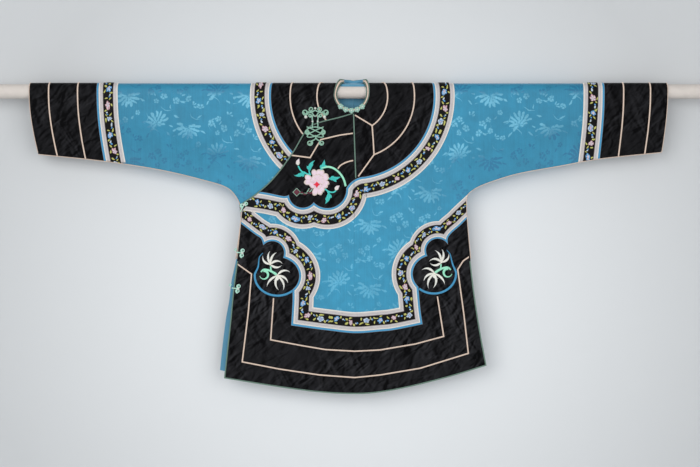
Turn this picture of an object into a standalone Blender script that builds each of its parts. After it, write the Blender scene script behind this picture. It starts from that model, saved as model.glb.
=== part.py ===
"""A side-closing silk jacket hung flat by its sleeves on a straight rod, at real size.

The frame is in metres, +Z up, with the front facing -Y and the origin on the rod's axis at
the jacket's centre seam. The jacket is cut in the old flat way, so every piece is drawn on
one pattern plane and hung over the rod together with the rest.

Sizes below are millimetres. On the pattern x runs along the rod, and s runs round the cloth
from the ridge over the rod, positive down the front and negative down the back. Depth is the
distance below the rod's axis, on either panel.
"""
import math

import bmesh
import bpy
from mathutils import Vector
from mathutils.geometry import delaunay_2d_cdt

MM = 0.001

# The rod
ROD_RADIUS = 17.0
ROD_HALF_LENGTH = 870.0
ROD_SIDES = 32
ROD_END_BEVEL = 1.5

# The cloth where it folds over the rod: flat facets that just clear it
SEAT_GAP = 0.3
FACETS_PER_QUARTER = 3
FACET_ANGLE = math.radians(90 / FACETS_PER_QUARTER)
RIDGE_RADIUS = (ROD_RADIUS + SEAT_GAP) / math.cos(FACET_ANGLE / 2)
QUARTER = RIDGE_RADIUS * math.pi / 2

# How far the two panels hang apart
HEM_DEPTH = 713.0
HEM_HALF_GAP = 8.0
SEAM_HALF_GAP = 0.25
CLOSING_WIDTH = 130.0
SLIT_DEPTH = 400.0
UNDERARM_X = 260.0

# Heights over the inner face of the cloth: bottom and top of each layer
CLOTH = (0.0, 1.4)
LOWER = (1.7, 2.5)
UPPER = (2.8, 3.6)
CORDS = (3.9, 5.9)
CORDS_ON_SATIN = (2.8, 4.8)
PIECE_GAP = 0.3
HALF_SEAM = PIECE_GAP / 2

# Reach of the shapes that only cut others: far aside, below the hem and along a sleeve's seam
FAR = 2000.0
BELOW = 900.0
SEAM_REACH = 190.0
CUFF_REACH = 177.0

# Cuffs, sleeve seams and centre seam, as x at the ridge
CUFF_RIGHT = -762.0
CUFF_LEFT = 736.0
SLEEVE_SEAM_RIGHT = -425.0
SLEEVE_SEAM_LEFT = 406.0
CENTRE_TOP = -1.0
CENTRE_LEAN = 4.8
CENTRE_TURN = 54.0
CENTRE_RUN = 660.0

# The sleeves droop towards the body below the rod: drift of the cuff at the droop depth
DROOP_RIGHT = 18.0
DROOP_LEFT = 12.0
DROOP_START = 300.0
DROOP_SPAN = 460.0
DROOP_DEPTH = 147.0

# Underside seams of the sleeves and side edges: x, depth
UNDERSIDE_RIGHT = ((-780, 145), (-745, 147.5), (-595, 163), (-458, 184), (-352, 209), (-300, 226),
                   (-276, 250), (-263, 280))
UNDERSIDE_LEFT = ((760, 141), (724, 143), (581, 158), (486, 175), (392, 192), (333, 209), (290, 226),
                  (268, 243), (264, 258))
SIDE_RIGHT = ((-263, 280), (-277, 400), (-291, 492), (-299, 600), (-306, 676))
SIDE_LEFT = ((264, 258), (266, 300), (275, 400), (284, 480), (297, 565), (312, 646))
BACK_SIDE_RIGHT = ((-263, 280), (-277, 400), (-296, 500), (-311, 600), (-317, 658))
BACK_SIDE_LEFT = ((264, 258), (266, 300), (275, 400), (283, 480), (294, 565), (306, 640))
HEM = ((-306, 676), (-175, 697), (-80, 709), (2, 713), (61, 709), (132, 696), (227, 672), (312, 646))
BACK_HEM = ((-317, 658), (-175, 688), (2, 703), (132, 687), (306, 640))

# Lapel edge from the neck to the underarm: x, depth
LAPEL_EDGE = ((-3, 53), (-33, 62), (-80, 74), (-106, 86), (-122, 108), (-145, 147), (-186, 202),
              (-222, 236), (-265, 266))
UNDERLAP_WIDTH = 30.0
UNDERLAP_SINK = 1.7
UNDERLAP_SLOPE = 22.0
UNDERLAP_END = 0.78
UNDERLAP_FADE = 0.92
UNDERLAP_TOP = 30.0

# Where the overlap's zone ends, beyond the right side: x, depth
OVERLAP_SIDE = ((-330, 268), (-420, 420), (-420, BELOW))

# Neck hole: centre x, half width, centre s, half length, and how far its front is fuller
NECK_X = -6.0
NECK_HALF_WIDTH = 34.5
NECK_S = 27.0
NECK_HALF_LENGTH = 42.5
NECK_FULLNESS = 0.1
NECK_STATIONS = 36
NECKBAND_HEIGHT = 3.7
NECKBAND_FRONT_WIDTH = 8.0
NECKBAND_BACK_HEIGHT = 14.0
NECKBAND_TOP = 28.5
NECKBAND_THICKNESS = 1.4
FLORET_WIDTH = 12.0
FLORET_THICKNESS = 2.2

# Sines of the angle round the neck where the band stops lying flat, how long it takes to stand
# up, and where the florets start
NECKBAND_FLAT = 0.15
NECKBAND_TURN = 0.8
FLORETS_FROM = 0.75
NECKBAND_CAPPED = 0.3

# Yoke and lapel lobes: centre x, centre depth, radius, first and last angle in degrees
YOKE = (-4, 13, 190.5)
YOKE_ROUND = (118, 450)
YOKE_RIGHT = (118, 280)
YOKE_LEFT = (270, 442.4)
YOKE_LAPEL = (60, 82.4)
LAPEL_HOLLOW = (28, 254, 53.0, -97.5, -166)
LAPEL_LOBES = ((-62.5, 231, 44.0, -25, 150), (-120.5, 242, 32.0, 20, 190))
LAPEL_TAIL = ((-152, 243), (-163, 247), (-198, 240), (-222, 236), (-290, 227))

# Cloud medallions on the border: centre x, centre depth, half width, half height, and the first
# and last angle of the lobe that shows
CLOUD_RIGHT_TOP = (-192, 381, 27.5, 27.5, -160, 40)
CLOUD_RIGHT_LOW = (-180, 435, 50.7, 43.7, -95, 60)
CLOUD_LEFT_TOP = (197, 375, 27.5, 27.5, 140, 335)
CLOUD_LEFT_LOW = (188, 430, 49.5, 43.7, 120, 275)
CLOUD_TOP_SPREAD = 0.85

# How the satin's cutting shapes close beyond the edges that show: x, depth
LAPEL_SATIN_REACH = ((-330, 120), (-200, 0), (40, 0))
YOKE_LEFT_REACH = ((-60, 220), (-60, -177.5))
BORDER_REACH = ((420, 300), (420, BELOW), (-420, BELOW), (-420, 300))
CUFF_SATIN_REACH = 1.1

# Inner edge of the border between the medallions and the side edges: x, depth
BORDER_RIGHT_UPPER = ((-300, 288), (-267, 312), (-234, 337), (-219, 347), (-215, 358), (-211, 372))
BORDER_RIGHT_FALL = ((-146, 452), (-145, 492), (-149, 562))
BORDER_BOTTOM = ((-160, 550), (-104, 558), (-57, 564), (2, 570), (61, 566), (97, 562), (175, 546))
BORDER_LEFT_FALL = ((164, 560), (157, 516), (151, 450))
BORDER_LEFT_UPPER = ((223, 370), (221, 357), (221, 346), (231, 333), (250, 317), (264, 303), (300, 270))

# Trims beside every satin edge: near and far side, measured out from the satin
EDGING = (0.4, 5.0)
TAPE = (5.4, 50.0)
RIBBON = (16.0, 39.0)
RING_WIDTH = 5.2

# Satin edges of the cuffs and the two piping lines on each, as x at the ridge
CUFF_SATIN_RIGHT = -605.0
CUFF_SATIN_LEFT = 589.0
CUFF_PIPING_RIGHT = (-717.0, -649.0)
CUFF_PIPING_LEFT = (696.0, 633.0)

# Piping on the yoke, the lapel and the border: x, depth
PIPING_WIDTH = 3.8
YOKE_PIPING_OUTER = (146.0, 125, 429.5)
YOKE_PIPING_INNER = (83.0, 125, 415.8)
YOKE_PIPING_LINK = ((2, 57), (42.5, 81.5), (45, 114), (47, 150), (10, 201))
LAPEL_PIPING = ((3, 99), (-33, 104), (-78, 114.5), (-103, 157), (-149, 151))
LAPEL_PIPING_ARC = ((4, 163), (-9, 165), (-21, 169), (-33, 176), (-38, 183))
BORDER_PIPING_OUTER = ((-278.5, 405), (-241, 431), (-248, 516), (-263, 637), (-175, 654),
                       (-80, 668), (2, 674), (61, 668), (156, 652), (269, 617), (259, 530), (244, 420),
                       (257, 400), (274, 389))
BORDER_PIPING_INNER = ((-189, 487), (-196, 585), (-127, 598), (-68, 608), (2, 612), (61, 609),
                       (144, 595), (211, 577), (205, 539), (196, 483))

BINDING_WIDTH = 3.4
HEM_BINDING_WIDTH = 3.0
CENTRE_BINDING_DEPTHS = (54, 120, 205)

# Ring strips round the cloud medallions: first and last angle, then the tail that leaves it
RING_TIP = 1.4
RING_RIGHT_ANGLES = (48, 186)
RING_RIGHT_TAIL = ((-225.5, 414), (-224, 402), (-222, 390), (-214, 381))
RING_LEFT_ANGLES = (132, -6)
RING_LEFT_TAIL = ((233, 410), (229, 396), (226, 384), (218, 374))

# Chest frog: its x, the coils on both sides of that (offset, depth, radius), the coils on it
# (depth, radius), and the cords on both sides (offset and depth of both ends, width)
CHEST_FROG_X = -91.0
CHEST_SIDE_COILS = ((8, 44, 7), (24, 50, 8), (24, 61, 4), (15, 93, 9), (15, 122, 6))
CHEST_MIDDLE_COILS = ((56, 12), (94, 16), (106, 7))
CHEST_CORDS = (((6, 62), (6, 88), 3.6), ((0, 110), (15, 122), 5.2), ((0, 52), (24, 50), 5.2))

# Small frogs at the side: x, depth, slant in degrees and layer, with two coils and a stem each
SMALL_FROGS = ((-256, 265, 20, CORDS), (-262.5, 380, 0, CORDS_ON_SATIN), (-272.5, 464, 0, CORDS))
SMALL_COIL_RADIUS = 4.6
SMALL_COIL_REACH = 5.4
SMALL_STEM = (-15, 2)
CORD_WIDTH = 2.6

# Applique: peony's x, depth and radius, then leaves as x, depth, length, width and direction
PEONY = (-87.0, 212.0, 27.0)
PEONY_SCALLOPS = 9
PEONY_SCALLOP_DEPTH = 0.13
LEAF_COLUMNS = ((-134, 199, 30, 12, 160), (-105, 174, 28, 12, -75), (-70, 174, 28, 12, -63),
                (-44, 204, 27, 10, -8), (-61, 255, 27, 12, 100))
BUD_COLUMNS = ((-132, 169, 17, 11, -85), (-38, 228, 17, 11, -65), (-134, 238, 20, 13, 175))
PEONY_STEMS = (((-101, 199), (-127, 188), (-132, 172)), ((-111, 194), (-124, 196)),
               ((-99, 196), (-107, 184)), ((-79, 194), (-75, 183)), ((-65, 208), (-53, 206)),
               ((-72, 231), (-52, 242), (-41, 234)), ((-62, 238), (-60, 247)),
               ((-102, 227), (-112, 236), (-128, 238)))
STEM_WIDTH = 3.2
LEAF_POINTS = 8
LEAF_NARROWING = 0.35

# Chrysanthemums: centre x, centre depth, petal length, angles of the first and last petal, petals
CHRYSANTHEMUMS_RIGHT = ((-198, 405, 25, -120, 20, 5), (-186, 432, 34, -10, 140, 5))
CHRYSANTHEMUMS_LEFT = ((203, 402, 25, -200, -60, 5), (189, 428, 34, 40, 190, 5))
PETAL_WIDTH = 6.4
PETAL_TIP = 1.6
PETAL_BEND = 0.35
PETAL_SHARES = (0.12, 0.55, 1.0)
PETAL_HEART = 5.1

# Scrolls beside them: centre x, centre depth, first and last angle
SCROLL_RADIUS = 13.0
SCROLL_WIDTH = 5.0
SCROLL_TIP = 2.0
SCROLL_RIGHT = (-212, 433, -190, 60)
SCROLL_LEFT = (219, 424, 10, -240)

# Coarseness of the solids' curves
STRAIGHT_STEP = 70.0
CURVE_STEP = 32.0
ARC_STEP = 9.0
LOBE_STEP = 22.0
SCROLL_STEP = 25.0
COIL_STEP = 45.0

# Pattern columns, and rows as shares of the sleeve depth and then depths
COLUMNS = (-790, -640, -500, -380, -300, -262, -220, -176, -132,
           132, 176, 220, 262, 300, 380, 500, 640, 770)
SLEEVE_ROWS = (0.5, 1.0)
BODY_ROWS = (400.0, 520.0, 760.0)
BODY_UNDERSIDE = 268.0
FLAT_TOLERANCE = math.radians(0.01)

# Trims beside a satin edge: name, finish, layer, near and far side
TRIMS = (
    ("edging", "blue_edging", LOWER, EDGING),
    ("tape", "white_tape", LOWER, TAPE),
    ("ribbon", "floral_ribbon", UPPER, RIBBON),
)

# Base colour and roughness of each finish
COLOURS = {
    "blue_damask": ((0.075, 0.31, 0.47), 0.5),
    "black_satin": ((0.012, 0.012, 0.014), 0.4),
    "white_tape": ((0.62, 0.58, 0.55), 0.7),
    "floral_ribbon": ((0.015, 0.016, 0.02), 0.6),
    "blue_edging": ((0.12, 0.42, 0.62), 0.5),
    "pink_piping": ((0.75, 0.55, 0.46), 0.6),
    "mint_binding": ((0.32, 0.45, 0.38), 0.7),
    "mint_cord": ((0.40, 0.68, 0.54), 0.6),
    "peony_applique": ((0.80, 0.62, 0.72), 0.6),
    "white_applique": ((0.85, 0.87, 0.80), 0.6),
    "rod_cover": ((0.72, 0.67, 0.63), 0.8),
}


def smooth(points, step):
    """Points about one step apart on a smooth curve through the given ones."""
    first = (2 * points[0][0] - points[1][0], 2 * points[0][1] - points[1][1])
    last = (2 * points[-1][0] - points[-2][0], 2 * points[-1][1] - points[-2][1])
    ends = [first, *points, last]
    result = [tuple(points[0])]
    for i in range(1, len(ends) - 2):
        a, b, c, d = ends[i - 1:i + 3]
        count = max(1, round(math.dist(b, c) / step))
        for k in range(1, count + 1):
            t = k / count
            result.append(tuple(
                0.5 * (2 * b[n] + (c[n] - a[n]) * t + (2 * a[n] - 5 * b[n] + 4 * c[n] - d[n]) * t * t
                       + (3 * b[n] - a[n] - 3 * c[n] + d[n]) * t ** 3)
                for n in (0, 1)))
    return result


def arc(centre, radii, start, stop, step):
    """Points on an ellipse's arc between two angles in degrees."""
    count = max(2, round(abs(stop - start) / step))
    result = []
    for k in range(count + 1):
        angle = math.radians(start + (stop - start) * k / count)
        result.append((centre[0] + radii[0] * math.cos(angle), centre[1] + radii[1] * math.sin(angle)))
    return result


def front(points):
    """Pattern points on the front for points given by their depth."""
    return [(x, QUARTER + depth) for x, depth in points]


def back(points):
    """Pattern points on the back for points given by their depth."""
    return [(x, -QUARTER - depth) for x, depth in points]


def mirrored(shapes):
    """The same shapes on the other panel."""
    return [[(x, -s) for x, s in shape] for shape in shapes]


def shifted(points, distance):
    """A line moved sideways, to the right of its way with s pointing up the page."""
    result = []
    last = len(points) - 1
    for i, (x, s) in enumerate(points):
        before = Vector(points[i]) - Vector(points[max(i - 1, 0)])
        after = Vector(points[min(i + 1, last)]) - Vector(points[i])
        if before.length == 0:
            before = after
        if after.length == 0:
            after = before
        before.normalize()
        after.normalize()
        middle = (before + after).normalized()
        reach = distance / max(0.5, middle.dot(before))
        result.append((x + middle.y * reach, s - middle.x * reach))
    return result


def crossing(a, b, c, d):
    """Where the segments ab and cd cross, or nothing."""
    run = (b[0] - a[0], b[1] - a[1])
    cut = (d[0] - c[0], d[1] - c[1])
    area = run[0] * cut[1] - run[1] * cut[0]
    if abs(area) < 1e-9:
        return None
    away = (c[0] - a[0], c[1] - a[1])
    t = (away[0] * cut[1] - away[1] * cut[0]) / area
    u = (away[0] * run[1] - away[1] * run[0]) / area
    if 0 <= t <= 1 and 0 <= u <= 1:
        return (a[0] + run[0] * t, a[1] + run[1] * t)
    return None


def joined(legs):
    """One line from several, each cut where it crosses the next."""
    line = list(legs[0])
    for leg in legs[1:]:
        cut = None
        for i in range(len(line) - 2, -1, -1):
            for k in range(len(leg) - 1):
                point = crossing(line[i], line[i + 1], leg[k], leg[k + 1])
                if point:
                    cut = (i, k, point)
                    break
            if cut:
                break
        if cut:
            line = line[:cut[0] + 1] + [cut[2]] + list(leg[cut[1] + 1:])
        else:
            line = line + list(leg)
    return [p for i, p in enumerate(line) if i == 0 or math.dist(p, line[i - 1]) > 0.05]


def band(legs, near, far):
    """The outline of a strip that runs beside a line, given as legs and their spreads."""
    inner = joined([shifted(leg, near * spread) for leg, spread in legs])
    outer = joined([shifted(leg, far * spread) for leg, spread in legs])
    return inner + outer[::-1]


def strip(points, width):
    """One four-sided piece for each stretch of a line of even width, which meet at mitres."""
    right = shifted(points, width / 2)
    left = shifted(points, -width / 2)
    return [[right[i], right[i + 1], left[i + 1], left[i]] for i in range(len(points) - 1)]


def taper(points, start, stop):
    """Like strip, for a line whose width changes evenly from end to end."""
    last = len(points) - 1
    middle = shifted(points, 1.0)
    sides = []
    for sign in (1, -1):
        side = []
        for i, (p, q) in enumerate(zip(points, middle)):
            reach = sign * (start + (stop - start) * i / last) / 2
            side.append((p[0] + (q[0] - p[0]) * reach, p[1] + (q[1] - p[1]) * reach))
        sides.append(side)
    return [[sides[0][i], sides[0][i + 1], sides[1][i + 1], sides[1][i]] for i in range(last)]


def droop(x, depth):
    """Sideways drift of a sleeve's lines below the rod."""
    drift = DROOP_RIGHT if x < 0 else -DROOP_LEFT
    share = max(0.0, abs(x) - DROOP_START) / DROOP_SPAN
    return drift * share * (max(0.0, depth) / DROOP_DEPTH) ** 2


def round_sleeve(x, reach):
    """A line round a sleeve, from the back's depth over the ridge to the front's."""
    depths = [reach * k / 3 for k in range(3, -1, -1)]
    line = [(x + droop(x, d), -QUARTER - d) for d in depths]
    return line + [(px, -s) for px, s in line[::-1]]


def centre_x(depth):
    """The centre seam's x at a depth."""
    return CENTRE_TOP + CENTRE_LEAN * max(0.0, depth - CENTRE_TURN) / CENTRE_RUN


def underside_depth(x):
    """Depth of the sleeve's underside seam, and the underarm's level over the body."""
    table = UNDERSIDE_RIGHT if x < 0 else UNDERSIDE_LEFT
    if abs(x) < abs(table[-1][0]):
        return BODY_UNDERSIDE
    for (x0, d0), (x1, d1) in zip(table, table[1:]):
        if min(x0, x1) <= x <= max(x0, x1):
            return d0 + (d1 - d0) * (x - x0) / (x1 - x0)
    return table[0][1]


def segment_distance(point, a, b):
    """Distance from a point to a segment."""
    run = (b[0] - a[0], b[1] - a[1])
    length = run[0] ** 2 + run[1] ** 2
    t = ((point[0] - a[0]) * run[0] + (point[1] - a[1]) * run[1]) / length
    t = min(1.0, max(0.0, t))
    return math.dist(point, (a[0] + run[0] * t, a[1] + run[1] * t))


def sewn_seam(underside, side):
    """The closed edge of the tube: the sleeve's underside, then the side down to its slit."""
    return [*underside, *[p for p in side[1:] if p[1] <= SLIT_DEPTH]]


def half_gap(x, depth):
    """Half the distance between the inner faces of front and back."""
    hang = RIDGE_RADIUS + (HEM_HALF_GAP - RIDGE_RADIUS) * depth / HEM_DEPTH
    seam = sewn_seam(UNDERSIDE_RIGHT, SIDE_RIGHT) if x < 0 else sewn_seam(UNDERSIDE_LEFT, SIDE_LEFT)
    distance = min(segment_distance((x, depth), a, b) for a, b in zip(seam, seam[1:]))
    side = abs(seam[-1][0])
    on_seam = depth >= underside_depth(x) - 0.01 and abs(x) > UNDERARM_X
    beyond = abs(x) > side and depth > UNDERARM_X
    if (on_seam or beyond) and depth <= SLIT_DEPTH:
        distance = 0.0
    closing = min(1.0, distance / CLOSING_WIDTH)
    return SEAM_HALF_GAP + (hang - SEAM_HALF_GAP) * closing


class Drape:
    """The hung cloth as flat facets over a grid of pattern columns and rows."""

    def __init__(self):
        self.rows = [self.column_rows(x) for x in COLUMNS]
        self.count = len(self.rows[0])
        self.points = [[self.place(x, s) for s in rows] for x, rows in zip(COLUMNS, self.rows)]
        self.facets = []
        for i in range(len(COLUMNS) - 1):
            for k in range(self.count - 1):
                self.facets.extend(self.cell(i, k))
        self.normals = self.corner_normals()
        self.creases = self.bent_edges()

    @staticmethod
    def column_rows(x):
        under = underside_depth(x)
        below = [QUARTER + under * share for share in SLEEVE_ROWS]
        below += [QUARTER + depth for depth in BODY_ROWS]
        ridge = [RIDGE_RADIUS * FACET_ANGLE * k for k in range(1, FACETS_PER_QUARTER + 1)]
        half = ridge + below
        return [-s for s in half[::-1]] + [0.0] + half

    @staticmethod
    def place(x, s):
        if abs(s) <= QUARTER + 1e-6:
            angle = s / RIDGE_RADIUS
            return Vector((x, -RIDGE_RADIUS * math.sin(angle), RIDGE_RADIUS * math.cos(angle)))
        depth = abs(s) - QUARTER
        return Vector((x, -math.copysign(half_gap(x, depth), s), -depth))

    def cell(self, i, k):
        """The two triangles of a cell, split so that left and right sides match."""
        a, b, c, d = (i, k), (i + 1, k), (i + 1, k + 1), (i, k + 1)
        if (COLUMNS[i] < 0) == (k >= self.count // 2):
            return [(a, b, c), (a, c, d)]
        return [(a, b, d), (b, c, d)]

    def at(self, corner):
        return self.points[corner[0]][corner[1]]

    def pattern(self, corner):
        return Vector((COLUMNS[corner[0]], self.rows[corner[0]][corner[1]]))

    def facet_normal(self, facet):
        a, b, c = (self.at(corner) for corner in facet)
        return (c - a).cross(b - a)

    def corner_normals(self):
        total = {}
        for facet in self.facets:
            normal = self.facet_normal(facet)
            for corner in facet:
                total[corner] = total.get(corner, Vector((0, 0, 0))) + normal.normalized()
        normals = {corner: normal.normalized() for corner, normal in total.items()}
        middle = self.count // 2
        for i in range(len(COLUMNS)):
            for k in range(middle - FACETS_PER_QUARTER + 1, middle + FACETS_PER_QUARTER):
                normals[(i, k)] = Vector((0, self.points[i][k].y, self.points[i][k].z)).normalized()
        return normals

    def bent_edges(self):
        """Pattern segments where two facets meet at an angle."""
        sides = {}
        for facet in self.facets:
            for n in range(3):
                edge = tuple(sorted((facet[n], facet[(n + 1) % 3])))
                sides.setdefault(edge, []).append(facet)
        bent = []
        for edge, pair in sides.items():
            if len(pair) == 2:
                turn = self.facet_normal(pair[0]).angle(self.facet_normal(pair[1]))
                if turn > FLAT_TOLERANCE:
                    bent.append((self.pattern(edge[0]), self.pattern(edge[1])))
        return bent

    def hang(self, x, s, height):
        """The point in space over a pattern point, at a height over the inner face."""
        i = max(n for n in range(len(COLUMNS) - 1) if COLUMNS[n] <= x or n == 0)
        share = (x - COLUMNS[i]) / (COLUMNS[i + 1] - COLUMNS[i])
        levels = [a + (b - a) * share for a, b in zip(self.rows[i], self.rows[i + 1])]
        k = max(n for n in range(self.count - 1) if levels[n] <= s or n == 0)
        best = None
        for facet in self.cell(i, k):
            weights = barycentric(Vector((x, s)), *(self.pattern(corner) for corner in facet))
            if best is None or min(weights) > min(best[0]):
                best = (weights, facet)
        place = Vector((0, 0, 0))
        normal = Vector((0, 0, 0))
        for weight, corner in zip(*best):
            place += weight * self.at(corner)
            normal += weight * self.normals[corner]
        return place + normal * height


def barycentric(p, a, b, c):
    """Weights of three corners at a point of their plane."""
    area = (b - a).cross(c - a)
    first = (b - p).cross(c - p) / area
    second = (c - p).cross(a - p) / area
    return (first, second, 1 - first - second)


DRAPE = Drape()


def counter_clockwise(polygon):
    """The polygon turned to run counter-clockwise."""
    area = sum(a[0] * b[1] - b[0] * a[1] for a, b in zip(polygon, polygon[1:] + polygon[:1]))
    return polygon if area > 0 else polygon[::-1]


def triangles_of(shapes, keep, lines):
    """Pattern points and triangles of what a rule keeps of some named shapes.

    Each name holds one polygon or several. The rule is asked with the names that cover a
    triangle. Every triangle lies within one facet of the hung cloth.
    """
    points = []
    faces = []
    owners = []
    for name, polygons in shapes.items():
        for polygon in polygons:
            ring = counter_clockwise(list(polygon))
            faces.append(list(range(len(points), len(points) + len(ring))))
            points.extend(ring)
            owners.append(name)
    low = [min(p[n] for p in points) - 1 for n in (0, 1)]
    high = [max(p[n] for p in points) + 1 for n in (0, 1)]
    edges = []
    for a, b in DRAPE.creases:
        apart = any(max(a[n], b[n]) < low[n] or min(a[n], b[n]) > high[n] for n in (0, 1))
        if not apart:
            edges.append((len(points), len(points) + 1))
            points.extend([tuple(a), tuple(b)])
    for line in lines:
        for a, b in zip(line, line[1:]):
            edges.append((len(points), len(points) + 1))
            points.extend([tuple(a), tuple(b)])
    result = delaunay_2d_cdt([Vector(p) for p in points], edges, faces, 0, 0.02, True)
    places, triangles, origins = result[0], result[2], result[5]
    kept = []
    for triangle, origin in zip(triangles, origins):
        names = {owners[n] for n in origin}
        if names and keep(names):
            kept.append(list(triangle))
    return [tuple(p) for p in places], kept


def sheet(name, finish, layer, shapes, keep, lines=(), sink=None):
    """A closed flat piece of cloth cut from named shapes and hung at its layer's height."""
    places, triangles = triangles_of(shapes, keep, lines)
    used = sorted({n for triangle in triangles for n in triangle})
    mesh = bmesh.new()
    lower = {}
    upper = {}
    for n in used:
        x, s = places[n]
        drop = sink(x, s) if sink else 0.0
        lower[n] = mesh.verts.new(DRAPE.hang(x, s, layer[0] - drop) * MM)
        upper[n] = mesh.verts.new(DRAPE.hang(x, s, layer[1] - drop) * MM)
    around = {}
    for a, b, c in triangles:
        mesh.faces.new((upper[c], upper[b], upper[a]))
        mesh.faces.new((lower[a], lower[b], lower[c]))
        for edge in ((a, b), (b, c), (c, a)):
            around[edge] = around.get(edge, 0) + 1
    for a, b in around:
        if (b, a) not in around:
            mesh.faces.new((upper[a], upper[b], lower[b], lower[a]))
    bmesh.ops.triangulate(mesh, faces=[f for f in mesh.faces if len(f.verts) > 3])
    return add_object(name, mesh, finish)


def add_object(name, mesh, finish):
    """A scene object from a bmesh, with its own material."""
    data = bpy.data.meshes.new(name)
    mesh.to_mesh(data)
    mesh.free()
    data.materials.append(material(name, finish))
    piece = bpy.data.objects.new(name, data)
    bpy.context.collection.objects.link(piece)
    return piece


def material(name, finish):
    """A plain finish for one piece."""
    colour, roughness = COLOURS[finish]
    result = bpy.data.materials.new(name)
    result.use_nodes = True
    shader = result.node_tree.nodes["Principled BSDF"]
    shader.inputs["Base Color"].default_value = (*colour, 1)
    shader.inputs["Roughness"].default_value = roughness
    shader.inputs["Metallic"].default_value = 0
    return result


def outline():
    """The whole jacket's edge on the pattern, front and back in one round."""
    front_edge = front(smooth(UNDERSIDE_RIGHT[1:], STRAIGHT_STEP))
    front_edge += front(smooth(SIDE_RIGHT, STRAIGHT_STEP))[1:]
    front_edge += front(smooth(HEM, STRAIGHT_STEP))[1:]
    front_edge += front(smooth(SIDE_LEFT, STRAIGHT_STEP)[::-1])[1:]
    front_edge += front(smooth(UNDERSIDE_LEFT[1:], STRAIGHT_STEP)[::-1])[1:]
    cuff_left = [(x, -s) for x, s in round_sleeve(CUFF_LEFT, DROOP_DEPTH - 4)][1:-1]
    back_edge = back(smooth(UNDERSIDE_LEFT[1:], STRAIGHT_STEP))
    back_edge += back(smooth(BACK_SIDE_LEFT, STRAIGHT_STEP))[1:]
    back_edge += back(smooth(BACK_HEM, STRAIGHT_STEP)[::-1])[1:]
    back_edge += back(smooth(BACK_SIDE_RIGHT, STRAIGHT_STEP)[::-1])[1:]
    back_edge += back(smooth(UNDERSIDE_RIGHT[1:], STRAIGHT_STEP)[::-1])[1:]
    cuff_right = round_sleeve(CUFF_RIGHT, DROOP_DEPTH)[1:-1]
    return front_edge + cuff_left + back_edge + cuff_right


def panel_edges(side):
    """The right edge, the hem and the left edge of one panel, and what places them."""
    if side == "front":
        return SIDE_RIGHT, HEM, SIDE_LEFT, front
    return BACK_SIDE_RIGHT, BACK_HEM, BACK_SIDE_LEFT, back


def panel_outline(side):
    """The body below the underarms on one side, as a clip for the border."""
    right, hem, left, place = panel_edges(side)
    return place([*smooth(right, STRAIGHT_STEP), *smooth(hem, STRAIGHT_STEP)[1:],
                  *smooth(left, STRAIGHT_STEP)[::-1][1:]])


def neck_hole():
    """The neck hole's edge."""
    ring = []
    for k in range(NECK_STATIONS):
        ring.append(neck_point(2 * math.pi * k / NECK_STATIONS))
    return ring


def neck_point(angle):
    """A point of the neck hole's edge."""
    fuller = 1 + NECK_FULLNESS * math.sin(angle)
    return (NECK_X + NECK_HALF_WIDTH * fuller * math.cos(angle),
            NECK_S + NECK_HALF_LENGTH * math.sin(angle))


def seam_side(line, outward):
    """A polygon on one side of a line that runs from back to front round the jacket."""
    return [*line, (outward * FAR, FAR), (outward * FAR, -FAR)]


def lapel_edge(distance):
    """The lapel edge on the pattern, moved down by a distance."""
    line = front(smooth(LAPEL_EDGE, CURVE_STEP))
    return shifted(line, distance)


def overlap_zone(distance):
    """All of the front that the overlap covers."""
    edge = lapel_edge(distance)
    down = [(centre_x(d), d) for d in (BELOW, CENTRE_TURN)]
    return [*edge, *front(OVERLAP_SIDE), *front(down)]


def lapel_shares():
    """Distance along the lapel edge at its points, as shares of its length."""
    line = lapel_edge(0)
    total = 0.0
    sums = [0.0]
    for a, b in zip(line, line[1:]):
        total += math.dist(a, b)
        sums.append(total)
    return [value / total for value in sums]


def underlap():
    """The strip of the right body that runs on under the overlap."""
    edge = lapel_edge(-HALF_SEAM)
    far = lapel_edge(UNDERLAP_WIDTH)
    count = sum(1 for share in lapel_shares() if share <= UNDERLAP_END)
    return [*edge[1:count], *far[1:count][::-1]]


def underlap_sink(x, s):
    """How far the right body sinks to pass under the overlap."""
    line = lapel_edge(0)
    shares = lapel_shares()
    best = None
    for n, (a, b) in enumerate(zip(line, line[1:])):
        distance = segment_distance((x, s), a, b)
        if best is None or distance < best[0]:
            best = (distance, n)
    distance, n = best
    a, b = line[n], line[n + 1]
    below = (b[0] - a[0]) * (s - a[1]) - (b[1] - a[1]) * (x - a[0]) < 0
    run = 1.0 if below else max(0.0, 1 - distance / UNDERLAP_SLOPE)
    along = shares[n]
    fade = min(1.0, max(0.0, (UNDERLAP_FADE - along) / (UNDERLAP_FADE - UNDERLAP_END)))
    return UNDERLAP_SINK * run * fade if s > QUARTER + UNDERLAP_TOP else 0.0


def yoke_edge(angles):
    """The yoke's round edge between two angles."""
    centre = (YOKE[0], QUARTER + YOKE[1])
    return (arc(centre, (YOKE[2], YOKE[2]), *angles, ARC_STEP), 1.0)


def lapel_legs():
    """The satin edge of the lapel, from the yoke's foot to the underarm."""
    legs = []
    for x, depth, radius, start, stop in (LAPEL_HOLLOW, *LAPEL_LOBES):
        legs.append((arc((x, QUARTER + depth), (radius, radius), start, stop, LOBE_STEP), 1.0))
    legs.append((front(smooth(LAPEL_TAIL, CURVE_STEP)), 1.0))
    return legs


def cloud(table, spread=1.0):
    """One lobe of a cloud medallion's edge."""
    x, depth, half_width, half_height, start, stop = table
    return (arc((x, QUARTER + depth), (half_width, half_height), start, stop, LOBE_STEP), spread)


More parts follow.
